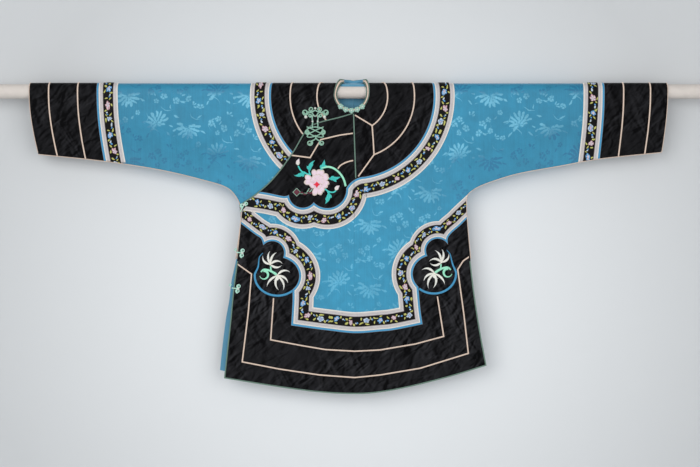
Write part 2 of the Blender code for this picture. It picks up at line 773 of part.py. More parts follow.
def border_legs():
    """The border's inner edge on the front, from the right side to the left."""
    return [
        (front(smooth(BORDER_RIGHT_UPPER, CURVE_STEP)), 1.0),
        cloud(CLOUD_RIGHT_TOP, CLOUD_TOP_SPREAD),
        cloud(CLOUD_RIGHT_LOW),
        (front(smooth(BORDER_RIGHT_FALL, STRAIGHT_STEP)), 1.0),
        (front(smooth(BORDER_BOTTOM, STRAIGHT_STEP)), 1.0),
        (front(smooth(BORDER_LEFT_FALL, STRAIGHT_STEP)), 1.0),
        cloud(CLOUD_LEFT_LOW),
        cloud(CLOUD_LEFT_TOP, CLOUD_TOP_SPREAD),
        (front(smooth(BORDER_LEFT_UPPER, CURVE_STEP)), 1.0),
    ]


def cloud_ring(table, angles, tail):
    """The thin strip that closes a medallion on the satin, with its curled tail."""
    x, depth, half_width, half_height = table[:4]
    reach = RING_WIDTH / 2
    ring = arc((x, QUARTER + depth), (half_width + reach, half_height + reach), *angles, LOBE_STEP)
    curl = smooth([ring[-1], *front(tail)], LOBE_STEP)
    return strip(ring, RING_WIDTH) + taper(curl, RING_WIDTH, RING_TIP)


def build_rod():
    """The covered rod, with a small round on its ends."""
    mesh = bmesh.new()
    profile = ((-ROD_HALF_LENGTH, ROD_RADIUS - ROD_END_BEVEL),
               (-ROD_HALF_LENGTH + ROD_END_BEVEL, ROD_RADIUS),
               (ROD_HALF_LENGTH - ROD_END_BEVEL, ROD_RADIUS),
               (ROD_HALF_LENGTH, ROD_RADIUS - ROD_END_BEVEL))
    rings = []
    for x, radius in profile:
        ring = []
        for k in range(ROD_SIDES):
            angle = 2 * math.pi * k / ROD_SIDES
            place = Vector((x, radius * math.cos(angle), radius * math.sin(angle)))
            ring.append(mesh.verts.new(place * MM))
        rings.append(ring)
    for low, high in zip(rings, rings[1:]):
        for k in range(ROD_SIDES):
            after = (k + 1) % ROD_SIDES
            mesh.faces.new((low[k], low[after], high[after], high[k]))
    mesh.faces.new(rings[0][::-1])
    mesh.faces.new(rings[-1])
    bmesh.ops.recalc_face_normals(mesh, faces=mesh.faces)
    add_object("rod", mesh, "rod_cover")


def hem_binding(side, width):
    """The binding along a panel's slits and hem, just inside its edge."""
    right, hem, left, place = panel_edges(side)
    legs = [smooth([p for p in right if p[1] >= SLIT_DEPTH], STRAIGHT_STEP), smooth(hem, STRAIGHT_STEP),
            smooth([p for p in left if p[1] >= SLIT_DEPTH][::-1], STRAIGHT_STEP)]
    line = joined([shifted(leg, HEM_BINDING_WIDTH / 2 + HALF_SEAM) for leg in legs])
    return strip(place(line), width)


def binding_strips(width):
    """The bound lapel edge and the centre line above the yoke's foot."""
    centre = [(centre_x(d), QUARTER + d) for d in CENTRE_BINDING_DEPTHS]
    return strip(lapel_edge(0), width) + strip(centre, width)


def zones():
    """The pattern zones that the pieces are cut from."""
    centre_back = [(CENTRE_TOP, -FAR), (CENTRE_TOP, QUARTER + CENTRE_TURN)]
    centre = [*centre_back, (centre_x(BELOW), QUARTER + BELOW), (centre_x(BELOW), FAR)]
    right_seam = [(SLEEVE_SEAM_RIGHT, -FAR), *round_sleeve(SLEEVE_SEAM_RIGHT, SEAM_REACH),
                  (SLEEVE_SEAM_RIGHT, FAR)]
    left_seam = [(SLEEVE_SEAM_LEFT, -FAR), *round_sleeve(SLEEVE_SEAM_LEFT, SEAM_REACH),
                 (SLEEVE_SEAM_LEFT, FAR)]
    return {
        "outline": [outline()],
        "neck": [neck_hole()],
        "right_sleeve": [seam_side(shifted(right_seam, -HALF_SEAM), -1)],
        "right_sleeve_wide": [seam_side(shifted(right_seam, HALF_SEAM), -1)],
        "left_sleeve": [seam_side(shifted(left_seam, HALF_SEAM), 1)],
        "left_sleeve_wide": [seam_side(shifted(left_seam, -HALF_SEAM), 1)],
        "right_half": [seam_side(shifted(centre, -HALF_SEAM), -1)],
        "left_half": [seam_side(shifted(centre, HALF_SEAM), 1)],
        "overlap": [overlap_zone(HALF_SEAM)],
        "overlap_wide": [overlap_zone(-HALF_SEAM)],
        "underlap": [underlap()],
        "binding": binding_strips(BINDING_WIDTH + 2 * PIECE_GAP),
    }


ZONES = zones()


def pick(*names):
    """Some of the zones by name."""
    return {name: ZONES[name] for name in names}


def build_cloth():
    """The five damask pieces."""
    sheet("sleeve_right", "blue_damask", CLOTH, pick("outline", "right_sleeve"),
          lambda n: {"outline", "right_sleeve"} <= n)
    sheet("sleeve_left", "blue_damask", CLOTH, pick("outline", "left_sleeve"),
          lambda n: {"outline", "left_sleeve"} <= n)
    sheet("body_left", "blue_damask", CLOTH, pick("outline", "left_half", "left_sleeve_wide", "neck"),
          lambda n: {"outline", "left_half"} <= n and not {"left_sleeve_wide", "neck"} & n)
    sheet("overlap_front", "blue_damask", CLOTH, pick("outline", "right_half", "overlap", "neck"),
          lambda n: {"outline", "right_half", "overlap"} <= n and "neck" not in n)
    sheet("body_right", "blue_damask", CLOTH,
          pick("outline", "right_half", "right_sleeve_wide", "overlap_wide", "underlap", "neck"),
          keep_right_body, lines=[lapel_edge(0), lapel_edge(-UNDERLAP_SLOPE)], sink=underlap_sink)


def keep_right_body(names):
    """The right body is all of its half but what the overlap covers, and its underlap."""
    inside = {"outline", "right_half"} <= names and not {"right_sleeve_wide", "neck"} & names
    return inside and ("overlap_wide" not in names or "underlap" in names)


# Which part of the jacket a yoke, lapel or border trim lies on
def on_right_shoulder(names):
    return "right_half" in names and not {"overlap_wide", "neck", "binding"} & names


def on_left_half(names):
    return "left_half" in names and not {"neck", "binding"} & names


def on_overlap(names):
    return {"right_half", "overlap"} <= names and not {"neck", "binding"} & names


def build_yoke_and_lapel():
    """Satin yoke and lapel with the trims beside their edge."""
    lapel_line = [yoke_edge(YOKE_LAPEL), *lapel_legs()]
    left_line = [yoke_edge(YOKE_LEFT), *lapel_legs()[:1]]
    lapel_satin = joined([leg for leg, _ in lapel_line]) + front(LAPEL_SATIN_REACH)
    left_satin = joined([leg for leg, _ in left_line]) + front(YOKE_LEFT_REACH)
    sheet("yoke_satin_right", "black_satin", LOWER,
          {"satin": [yoke_edge(YOKE_ROUND)[0]], **pick("right_half", "overlap_wide", "neck")},
          lambda n: "satin" in n and on_right_shoulder(n))
    sheet("yoke_satin_left", "black_satin", LOWER,
          {"satin": [left_satin], **pick("left_half", "neck")},
          lambda n: "satin" in n and on_left_half(n))
    sheet("lapel_satin", "black_satin", LOWER,
          {"satin": [lapel_satin], **pick("outline", "right_half", "overlap", "neck")},
          lambda n: {"satin", "outline"} <= n and on_overlap(n))
    for trim, finish, layer, sides in TRIMS:
        bound = pick("binding") if layer == UPPER else {}
        right = {"strip": [band([yoke_edge(YOKE_RIGHT)], *sides)], **bound}
        left = {"strip": [band(left_line, *sides)], **bound}
        lapel = {"strip": [band(lapel_line, *sides)], **bound}
        sheet(f"yoke_{trim}_right", finish, layer, {**right, **pick("right_half", "overlap_wide", "neck")},
              lambda n: "strip" in n and on_right_shoulder(n))
        sheet(f"yoke_{trim}_left", finish, layer, {**left, **pick("left_half", "neck")},
              lambda n: "strip" in n and on_left_half(n))
        sheet(f"lapel_{trim}", finish, layer,
              {**lapel, **pick("outline", "right_half", "overlap", "neck")},
              lambda n: {"strip", "outline"} <= n and on_overlap(n))


def build_border(side):
    """The satin border of one panel's slits and hem, with its trims and medallion rings."""
    panel = panel_outline(side)
    turn = list if side == "front" else mirrored
    legs = border_legs()
    satin = joined([leg for leg, _ in legs]) + front(BORDER_REACH)
    rings = (cloud_ring(CLOUD_RIGHT_LOW, RING_RIGHT_ANGLES, RING_RIGHT_TAIL)
             + cloud_ring(CLOUD_LEFT_LOW, RING_LEFT_ANGLES, RING_LEFT_TAIL))
    lapel_trim = [band([yoke_edge(YOKE_LAPEL), *lapel_legs()], 0, TAPE[1] + PIECE_GAP)]
    clip = {"panel": [panel], "lapel_trim": lapel_trim if side == "front" else []}
    sheet(f"border_satin_{side}", "black_satin", LOWER, {"satin": turn([satin]), "panel": [panel]},
          lambda n: {"satin", "panel"} <= n)
    for trim, finish, layer, sides in TRIMS:
        sheet(f"border_{trim}_{side}", finish, layer, {"strip": turn([band(legs, *sides)]), **clip},
              lambda n: {"strip", "panel"} <= n and "lapel_trim" not in n)
    for hand, ring in (("right", rings[:len(rings) // 2]), ("left", rings[len(rings) // 2:])):
        sheet(f"cloud_ring_{hand}_{side}", "blue_edging", UPPER, {"ring": turn(ring)},
              lambda n: "ring" in n)


def build_cuff(hand, satin_x, cuff_x, piping_xs):
    """A sleeve end's satin band with its trims and piping."""
    edge = round_sleeve(satin_x, CUFF_REACH)
    if cuff_x > 0:
        edge = edge[::-1]
    far = cuff_x * CUFF_SATIN_REACH
    satin = [*edge, (far, edge[-1][1]), (far, edge[0][1])]
    clip = pick("outline")
    sheet(f"cuff_satin_{hand}", "black_satin", LOWER, {"satin": [satin], **clip},
          lambda n: {"satin", "outline"} <= n)
    for trim, finish, layer, sides in TRIMS:
        sheet(f"cuff_{trim}_{hand}", finish, layer, {"strip": [band([(edge, 1.0)], *sides)], **clip},
              lambda n: {"strip", "outline"} <= n)
    for place, x in zip(("outer", "inner"), piping_xs):
        sheet(f"cuff_piping_{place}_{hand}", "pink_piping", UPPER,
              {"line": strip(round_sleeve(x, CUFF_REACH), PIPING_WIDTH), **clip},
              lambda n: {"line", "outline"} <= n)


def ring_line(radius, start, stop):
    """A round line about the yoke's centre."""
    return arc((YOKE[0], QUARTER + YOKE[1]), (radius, radius), start, stop, ARC_STEP)


def build_piping():
    """Pink piping on the yoke, the lapel and the borders."""
    bound = pick("binding", "overlap_wide", "overlap", "right_half", "neck")
    yoke = strip(ring_line(*YOKE_PIPING_OUTER), PIPING_WIDTH)
    yoke += strip(ring_line(*YOKE_PIPING_INNER), PIPING_WIDTH)
    yoke += strip(front(YOKE_PIPING_LINK), PIPING_WIDTH)
    sheet("yoke_piping", "pink_piping", UPPER, {"line": yoke, **bound},
          lambda n: "line" in n and not {"binding", "overlap_wide", "neck"} & n)
    overlap = {"line": strip(front(LAPEL_PIPING), PIPING_WIDTH), **bound}
    sheet("lapel_piping", "pink_piping", UPPER, overlap,
          lambda n: {"line", "overlap", "right_half"} <= n and "binding" not in n)
    curl = {"line": strip(front(smooth(LAPEL_PIPING_ARC, LOBE_STEP)), PIPING_WIDTH), **bound}
    sheet("lapel_piping_curl", "pink_piping", UPPER, curl,
          lambda n: {"line", "overlap", "right_half"} <= n and "binding" not in n)
    for side in ("front", "back"):
        turn = list if side == "front" else mirrored
        bound_edge = hem_binding(side, HEM_BINDING_WIDTH + 2 * PIECE_GAP)
        clip = {"panel": [panel_outline(side)], "binding": bound_edge}
        for place, line in (("outer", BORDER_PIPING_OUTER), ("inner", BORDER_PIPING_INNER)):
            shapes = {"line": turn(strip(front(line), PIPING_WIDTH)), **clip}
            sheet(f"border_piping_{place}_{side}", "pink_piping", UPPER, shapes,
                  lambda n: {"line", "panel"} <= n and "binding" not in n)


def build_bindings():
    """Mint bindings on the lapel edge with the centre line, and on the slits and hem."""
    sheet("lapel_binding", "mint_binding", UPPER, {"line": binding_strips(BINDING_WIDTH), **pick("neck")},
          lambda n: "line" in n and "neck" not in n)
    for side in ("front", "back"):
        sheet(f"hem_binding_{side}", "mint_binding", UPPER, {"line": hem_binding(side, HEM_BINDING_WIDTH)},
              lambda n: "line" in n)


def build_neckband():
    """The neckband: flat on the yoke in front, standing up behind the rod at the back."""
    mesh = bmesh.new()
    rings = []
    up = Vector((0, 0, 1))
    for k in range(NECK_STATIONS):
        angle = 2 * math.pi * k / NECK_STATIONS
        x, s = neck_point(angle)
        ahead = neck_point(angle + 0.01)
        along = Vector((ahead[0] - x, ahead[1] - s)).normalized()
        outward = Vector((along.y, -along.x))
        base = DRAPE.hang(x, s, NECKBAND_HEIGHT)
        normal = (DRAPE.hang(x, s, NECKBAND_HEIGHT + 1) - base).normalized()
        spread = (DRAPE.hang(x + outward.x, s + outward.y, NECKBAND_HEIGHT) - base).normalized()
        stand = min(1.0, max(0.0, (NECKBAND_FLAT - math.sin(angle)) / NECKBAND_TURN))
        stand = stand * stand * (3 - 2 * stand)
        rise = normal.lerp(up, stand).normalized()
        level = (spread - rise * spread.dot(rise)).normalized()
        turn = stand * math.pi / 2
        width = NECKBAND_FRONT_WIDTH + (NECKBAND_BACK_HEIGHT - NECKBAND_FRONT_WIDTH) * stand
        thickness = NECKBAND_THICKNESS
        if math.sin(angle) > FLORETS_FROM:
            width = FLORET_WIDTH
            thickness = FLORET_THICKNESS
        run = level * math.cos(turn) + rise * math.sin(turn)
        thick = rise * math.cos(turn) - level * math.sin(turn)
        if stand > NECKBAND_CAPPED:
            width = min(width, (NECKBAND_TOP - base.z) / run.z)
        low = base
        high = base + thick * thickness
        corners = (low, low + run * width, high + run * width, high)
        rings.append([mesh.verts.new(corner * MM) for corner in corners])
    for k in range(NECK_STATIONS):
        here = rings[k]
        after = rings[(k + 1) % NECK_STATIONS]
        for n in range(4):
            m = (n + 1) % 4
            mesh.faces.new((here[n], after[n], after[m], here[m]))
    bmesh.ops.triangulate(mesh, faces=list(mesh.faces))
    bmesh.ops.recalc_face_normals(mesh, faces=mesh.faces)
    add_object("neckband", mesh, "mint_binding")


def coil(x, depth, radius):
    """A small round coil of cord."""
    return [arc((x, QUARTER + depth), (radius, radius), 0, 360 - COIL_STEP, COIL_STEP)]


def build_frogs():
    """The chest frog and the three small ones at the right side."""
    knot = []
    for sign in (-1, 1):
        for offset, depth, radius in CHEST_SIDE_COILS:
            knot += coil(CHEST_FROG_X + sign * offset, depth, radius)
        for top, foot, width in CHEST_CORDS:
            ends = [(CHEST_FROG_X + sign * offset, depth) for offset, depth in (top, foot)]
            knot += strip(front(ends), width)
    for depth, radius in CHEST_MIDDLE_COILS:
        knot += coil(CHEST_FROG_X, depth, radius)
    sheet("chest_frog", "mint_cord", CORDS, {"cord": knot}, lambda n: "cord" in n)
    for number, (x, depth, angle, layer) in enumerate(SMALL_FROGS, 1):
        lean = SMALL_COIL_REACH * math.sin(math.radians(angle))
        knot = []
        for sign in (-1, 1):
            knot += coil(x - lean * sign, depth + SMALL_COIL_REACH * sign, SMALL_COIL_RADIUS)
        knot += strip(front([(x + end, depth) for end in SMALL_STEM]), CORD_WIDTH)
        sheet(f"side_frog_{number}", "mint_cord", layer, {"cord": knot}, lambda n: "cord" in n)


def leaf(x, depth, length, width, direction):
    """A pointed leaf or bud about its middle."""
    turn = math.radians(direction)
    result = []
    for k in range(LEAF_POINTS):
        angle = 2 * math.pi * k / LEAF_POINTS
        along = length / 2 * math.cos(angle)
        across = width / 2 * math.sin(angle) * (1 - LEAF_NARROWING * math.cos(angle))
        result.append((x + along * math.cos(turn) - across * math.sin(turn),
                       QUARTER + depth + along * math.sin(turn) + across * math.cos(turn)))
    return result


def build_peony():
    """The peony spray on the lapel."""
    x, depth, radius = PEONY
    flower = []
    points = PEONY_SCALLOPS * 4
    for k in range(points):
        angle = 2 * math.pi * k / points
        reach = radius * (1 + PEONY_SCALLOP_DEPTH * math.cos(PEONY_SCALLOPS * angle))
        flower.append((x + reach * math.cos(angle), QUARTER + depth + reach * math.sin(angle)))
    shapes = [flower]
    shapes += [leaf(*row) for row in LEAF_COLUMNS + BUD_COLUMNS]
    for stem in PEONY_STEMS:
        shapes += strip(front(stem), STEM_WIDTH)
    sheet("peony", "peony_applique", UPPER, {"flower": shapes}, lambda n: "flower" in n)


def chrysanthemum(x, depth, length, first, last, count):
    """A half-open flower of curved petals."""
    petals = []
    for k in range(count):
        angle = math.radians(first + (last - first) * k / (count - 1))
        bend = PETAL_BEND if k % 2 else -PETAL_BEND
        line = []
        for share in PETAL_SHARES:
            reach = length * share
            swing = angle + bend * share ** 2
            line.append((x + reach * math.cos(swing), QUARTER + depth + reach * math.sin(swing)))
        petals += taper(line, PETAL_WIDTH, PETAL_TIP)
    petals += coil(x, depth, PETAL_HEART)
    return petals


def build_chrysanthemums():
    """A pair of chrysanthemums with a mint scroll in each medallion of the front."""
    for hand, rows, scroll in (("right", CHRYSANTHEMUMS_RIGHT, SCROLL_RIGHT),
                               ("left", CHRYSANTHEMUMS_LEFT, SCROLL_LEFT)):
        shapes = []
        for row in rows:
            shapes += chrysanthemum(*row)
        x, depth, start, stop = scroll
        curl = arc((x, QUARTER + depth), (SCROLL_RADIUS, SCROLL_RADIUS), start, stop, SCROLL_STEP)
        shapes += taper(curl, SCROLL_WIDTH, SCROLL_TIP)
        shapes += strip([curl[0], front([rows[1][:2]])[0]], STEM_WIDTH)
        shapes += strip(front([rows[0][:2], rows[1][:2]]), STEM_WIDTH)
        sheet(f"chrysanthemums_{hand}", "white_applique", UPPER, {"flower": shapes},
              lambda n: "flower" in n)


def main():
    for old in list(bpy.data.objects):
        bpy.data.objects.remove(old, do_unlink=True)
    build_rod()
    build_cloth()
    build_yoke_and_lapel()
    build_border("front")
    build_border("back")
    build_cuff("right", CUFF_SATIN_RIGHT, CUFF_RIGHT, CUFF_PIPING_RIGHT)
    build_cuff("left", CUFF_SATIN_LEFT, CUFF_LEFT, CUFF_PIPING_LEFT)
    build_piping()
    build_bindings()
    build_neckband()
    build_frogs()
    build_peony()
    build_chrysanthemums()


main()
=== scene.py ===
"""A side-closing silk jacket hung flat on a covered rod: its cloth, trims, frogs and appliques.

The file is laid out as an add-on, with one operator for each kind of piece. Every piece is drawn
on one pattern plane in millimetres, as the maker cut it, and hung over the rod with the rest: x
runs along the rod, and s runs round the cloth from the ridge, positive down the front and
negative down the back. Depth is the distance below the rod's axis.
"""
import math

import bmesh
import bpy
import numpy as np
from bpy.props import FloatProperty, FloatVectorProperty, IntProperty, PointerProperty
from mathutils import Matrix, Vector
from mathutils.geometry import delaunay_2d_cdt


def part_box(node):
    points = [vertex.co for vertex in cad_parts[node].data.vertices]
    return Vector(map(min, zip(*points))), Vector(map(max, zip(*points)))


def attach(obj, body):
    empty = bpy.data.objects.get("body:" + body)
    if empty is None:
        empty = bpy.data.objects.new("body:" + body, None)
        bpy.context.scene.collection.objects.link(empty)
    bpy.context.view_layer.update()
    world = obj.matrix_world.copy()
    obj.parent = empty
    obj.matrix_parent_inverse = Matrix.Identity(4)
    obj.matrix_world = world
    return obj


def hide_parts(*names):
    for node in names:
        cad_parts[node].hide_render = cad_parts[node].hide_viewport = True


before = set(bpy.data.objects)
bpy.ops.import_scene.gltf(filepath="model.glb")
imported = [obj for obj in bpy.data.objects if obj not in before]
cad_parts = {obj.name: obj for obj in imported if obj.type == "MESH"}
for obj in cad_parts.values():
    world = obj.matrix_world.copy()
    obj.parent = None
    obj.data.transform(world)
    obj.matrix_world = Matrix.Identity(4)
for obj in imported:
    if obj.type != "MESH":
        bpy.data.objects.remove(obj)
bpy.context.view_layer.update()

bl_info = {
    "name": "Side-closing silk jacket",
    "version": (1, 0, 0),
    "blender": (4, 5, 0),
    "location": "View3D > Sidebar > Jacket",
    "description": "Sews a silk jacket with satin borders and woven ribbons, hung on its rod",
    "category": "Add Mesh",
}

MM = 0.001

# The rod, and the ridge of the cloth over it
ROD_LOW, ROD_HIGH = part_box("rod")
ROD_RADIUS = (ROD_HIGH.z - ROD_LOW.z) / 2 / MM
ROD_HALF_LENGTH = (ROD_HIGH.x - ROD_LOW.x) / 2 / MM
RIDGE_RADIUS = ROD_RADIUS + 0.9
QUARTER = RIDGE_RADIUS * math.pi / 2

# How far the two panels hang apart
HEM_DEPTH = 713.0
HEM_HALF_GAP = 8.0
SEAM_HALF_GAP = 0.25
CLOSING_WIDTH = 130.0
SLIT_DEPTH = 400.0
UNDERARM_X = 260.0
UNDERARM_DEPTH = 280.0

# Heights over the inner face of the cloth: bottom and top of each layer
CLOTH = (0.0, 1.4)
LOWER = (1.5, 2.5)
UPPER = (2.6, 3.6)
PIECE_GAP = 0.12
HALF_SEAM = PIECE_GAP / 2
EDGE_DROP = 0.15

PIPING_LOW = 2.5

# Reach of the shapes that only cut others: far aside, below the hem and along a sleeve's seam
FAR = 2000.0
BELOW = 900.0
SEAM_REACH = 190.0
CUFF_REACH = 177.0

# Cuffs, sleeve seams and centre seam, as x at the ridge
CUFF_RIGHT = -762.0
CUFF_LEFT = 736.0
SLEEVE_SEAM_RIGHT = -425.0
SLEEVE_SEAM_LEFT = 406.0
CENTRE_TOP = -1.0
CENTRE_LEAN = 4.8
CENTRE_TURN = 54.0
CENTRE_RUN = 660.0

# The sleeves droop towards the body below the rod: drift of the cuff at the droop depth
DROOP_RIGHT = 18.0
DROOP_LEFT = 12.0
DROOP_START = 300.0
DROOP_SPAN = 460.0
DROOP_DEPTH = 147.0
CUFF_LEFT_DEPTH = 143.0
EDGE_LINE_DEPTH = 144.0

# Underside seams of the sleeves and side edges: x, depth
UNDERSIDE_RIGHT = ((-780, 145), (-745, 147.5), (-595, 163), (-458, 184), (-352, 209), (-300, 226),
                   (-276, 250), (-263, 280))
UNDERSIDE_LEFT = ((760, 141), (724, 143), (581, 158), (486, 175), (392, 192), (333, 209),
                  (290, 226), (268, 243), (264, 258))
SIDE_RIGHT = ((-263, 280), (-276, 400), (-282, 445), (-287, 492), (-291, 537), (-298, 600),
              (-306, 676))
SIDE_LEFT = ((264, 258), (266, 300), (275, 400), (284, 480), (297, 565), (312, 646))
BACK_SIDE_RIGHT = ((-263, 280), (-279, 400), (-289, 445), (-295, 492), (-303, 537), (-311, 600),
                   (-317, 658))
BACK_SIDE_LEFT = ((264, 258), (266, 300), (275, 400), (283, 480), (294, 565), (306, 640))
HEM = ((-306, 676), (-175, 697), (-80, 709), (2, 713), (61, 709), (132, 696), (227, 672),
       (312, 646))
BACK_HEM = ((-317, 658), (-175, 688), (2, 703), (132, 687), (306, 640))

# Lapel edge from the neck to the underarm: x, depth
LAPEL_EDGE = ((-3, 53), (-33, 62), (-80, 74), (-106, 86), (-122, 108), (-145, 147), (-186, 202),
              (-222, 236), (-265, 266))
UNDERLAP_WIDTH = 30.0
UNDERLAP_SINK = 1.7
UNDERLAP_SLOPE = 22.0
UNDERLAP_END = 0.78
UNDERLAP_FADE = 0.92
UNDERLAP_TOP = 30.0
OVERLAP_SIDE = ((-330, 268), (-420, 420), (-420, BELOW))

# Neck hole: centre x, half width, centre s, half length, and how far its front is fuller
NECK_X = -6.0
NECK_HALF_WIDTH = 34.5
NECK_S = 27.0
NECK_HALF_LENGTH = 42.5
NECK_FULLNESS = 0.1
NECK_STATIONS = 144
NECK_LEAN = 9.0
NECK_LEAN_START = 0.35
NECKBAND_HEIGHT = 2.6
NECKBAND_FRONT_WIDTH = 8.0
NECKBAND_BACK_HEIGHT = 14.0
NECKBAND_TOP = 28.5
NECKBAND_FLAT = 0.15
NECKBAND_TURN = 0.8
NECKBAND_CAPPED = 0.3
NECKBAND_TURNED = -0.55
NECK_FACING = (2.0, 15.0)

# The neckband's silks, and its section: share of its width, thickness and which silk follows.
# The pattern runs by metres for each station along it and for each step of the section.
# The neck groove shade is a dark silk laid in the band's grooves as painted shade of the gaps between binding
# and piping
NECKBAND_SILKS = ("piping", "binding", "neck groove shade", "bead", "lining")
NECKBAND_LINING = 4
NECKBAND_SECTION = (
    (0.0, 0.1, 1), (0.03, 1.2, 1), (0.10, 1.6, 1), (0.19, 1.2, 2), (0.31, 0.9, 0), (0.38, 1.9, 0),
    (0.52, 2.4, 0), (0.64, 1.9, 0), (0.70, 0.9, 2), (0.83, 1.1, 1), (0.93, 1.3, 1), (1.0, 0.0, 1),
)
NECKBAND_PATTERN = (0.0035, 0.0014)
NECKBAND_CUT = 11.0

# Florets on the neckband's front: how many, degrees between them, distance out and radius
FLORETS = 5
FLORET_SPACING = 18.0
FLORET_SPREAD = 5.0
FLORET_RADIUS = 7.0

# Yoke and lapel lobes: centre x, centre depth, radius, first and last angle in degrees
YOKE = (-4, 13, 190.5)
YOKE_ROUND = (118, 450)
YOKE_RIGHT = (118, 280)
YOKE_LEFT = (270, 442.4)
YOKE_LAPEL = (60, 82.4)
LAPEL_HOLLOW = (28, 254, 53.0, -97.5, -166)
LAPEL_LOBES = ((-62.5, 231, 44.0, -25, 150), (-120.5, 242, 32.0, 20, 190))
LAPEL_TAIL = ((-152, 243), (-163, 247), (-198, 240), (-222, 236), (-290, 227))

# Cloud medallions on the border: centre x, centre depth, half width, half height, and the first
# and last angle of the lobe that shows
CLOUD_RIGHT_TOP = (-192, 381, 27.5, 27.5, -160, 40)
CLOUD_RIGHT_LOW = (-180, 435, 50.7, 43.7, -95, 60)
CLOUD_LEFT_TOP = (197, 375, 27.5, 27.5, 140, 335)
CLOUD_LEFT_LOW = (188, 430, 49.5, 43.7, 120, 275)
CLOUD_TOP_SPREAD = 0.83

# How the satin's cutting shapes close beyond the edges that show: x, depth
LAPEL_SATIN_REACH = ((-330, 120), (-200, 0), (40, 0))
YOKE_LEFT_REACH = ((-60, 220), (-60, -177.5))
BORDER_REACH = ((420, 300), (420, BELOW), (-420, BELOW), (-420, 300))
CUFF_SATIN_REACH = 1.1

# Inner edge of the border between the medallions and the side edges: x, depth
BORDER_RIGHT_UPPER = ((-300, 288), (-267, 312), (-234, 337), (-219, 347), (-215, 358), (-211, 372))
BORDER_RIGHT_FALL = ((-146, 452), (-145, 492), (-149, 562))
BORDER_BOTTOM = ((-160, 550), (-104, 558), (-57, 564), (2, 570), (61, 566), (97, 562), (175, 546))
BORDER_LEFT_FALL = ((164, 560), (157, 516), (151, 450))
BORDER_LEFT_UPPER = ((223, 370), (221, 357), (221, 346), (231, 333), (250, 317), (264, 303),
                     (300, 270))

# Trims beside every satin edge: near and far side, measured out from the satin
EDGING = (0.0, 5.2)
TAPE = (5.2, 50.0)
RIBBON = (16.0, 39.0)
RING_WIDTH = 5.2

# Satin edges of the cuffs and the two piping lines on each, as x at the ridge
CUFF_SATIN_RIGHT = -605.0
CUFF_SATIN_LEFT = 589.0
CUFF_PIPING_RIGHT = (-717.0, -649.0)
CUFF_PIPING_LEFT = (696.0, 633.0)

# Piping on the yoke, the lapel and the border: x, depth
PIPING_WIDTH = 3.4
YOKE_PIPING_OUTER = (146.0, 125, 429.5)
YOKE_PIPING_INNER = (83.0, 125, 415.8)
YOKE_PIPING_LINK = ((2, 57), (42.5, 81.5), (45, 114), (47, 150), (10, 201))
LAPEL_PIPING = ((3, 99), (-33, 104), (-78, 114.5), (-103, 157), (-149, 151))
LAPEL_PIPING_ARC = ((6.5, 162.5), (-9, 165), (-21, 169), (-33, 176), (-38, 183))
BORDER_PIPING_OUTER = ((-298, 391), (-241, 431), (-248, 516), (-263, 637), (-175, 654),
                       (-80, 668), (2, 674), (61, 668), (156, 652), (269, 617), (259, 530),
                       (244, 420), (257, 400), (290, 377))
BORDER_PIPING_INNER = ((-189, 487), (-196, 585), (-127, 598), (-68, 608), (2, 612), (61, 609),
                       (144, 595), (211, 577), (205, 539), (196, 483))

BINDING_WIDTH = 3.0
HEM_BINDING_WIDTH = 3.0
EDGE_LINE_WIDTH = 1.8
CENTRE_BINDING_DEPTHS = (54, 120, 205)
CENTRE_BINDING_LEAN = 4.0

# Ring strips round the cloud medallions: first and last angle, then the tail that leaves it
RING_TIP = 1.4
RING_RIGHT_ANGLES = (48, 186)
RING_RIGHT_TAIL = ((-225.5, 414), (-224, 402), (-222, 390), (-214, 381))
RING_LEFT_ANGLES = (132, -6)
RING_LEFT_TAIL = ((233, 410), (229, 396), (226, 384), (218, 374))

# How far round strips stand up for their width, and how many sides their sections have
EDGE_LINE_RISE = 2.7
RING_RISE = 0.35
APPLIQUE_RISE = 0.5
ROUND_SIDES = 7

# A round section's first angle and sweep in degrees, and its middle's height for its half width
ROUND_START = 205
ROUND_SWEEP = 230
ROUND_MIDDLE = 0.55

# A flat strip's soft edge, the height of its foot, and how far in and down its shoulder lies
SOFT_EDGE = 0.8
SOFT_FOOT = 0.45
SOFT_INSET = 0.35
SOFT_DROP = 0.2

# The rod's rounded ends, and the angles that smooth shading bridges
ROD_BEVEL = 1.5
ROD_SMOOTHING = math.radians(40)
CLOTH_SMOOTHING = math.radians(50)

# A sheet that fills less than this share of its box is worked out as a strip of its area
NARROW_SHARE = 0.31

# Fineness of the cloth's lattice and of the trims, in millimetres, and of arcs, in degrees
CLOTH_STEP = 7.0
SATIN_STEP = 5.5
RIDGE_STEP = 3.2
RIDGE_REACH = QUARTER + 7.0
TRIM_STEP = 3.5
LINE_STEP = 6.0
ARC_STEP = 2.0
LOBE_STEP = 5.0
CORNER_TURN = math.radians(24)

# How far a corner may reach out, the least distance between a joined line's points, how exactly
# cloth is cut, and in metres how near points are merged
CORNER_LIMIT = 0.5
LEAST_STEP = 0.05
CUT_PRECISION = 0.02
MERGE_REACH = 1e-6


def smooth(points, step=LINE_STEP):
    """Points about one step apart on a smooth curve through the given ones."""
    first = (2 * points[0][0] - points[1][0], 2 * points[0][1] - points[1][1])
    last = (2 * points[-1][0] - points[-2][0], 2 * points[-1][1] - points[-2][1])
    ends = [first, *points, last]
    result = [tuple(points[0])]
    for i in range(1, len(ends) - 2):
        a, b, c, d = ends[i - 1:i + 3]
        count = max(1, round(math.dist(b, c) / step))
        for k in range(1, count + 1):
            t = k / count
            result.append(tuple(
                0.5 * (2 * b[n] + (c[n] - a[n]) * t + (2 * a[n] - 5 * b[n] + 4 * c[n] - d[n]) * t * t
                       + (3 * b[n] - a[n] - 3 * c[n] + d[n]) * t ** 3)
                for n in (0, 1)))
    return result


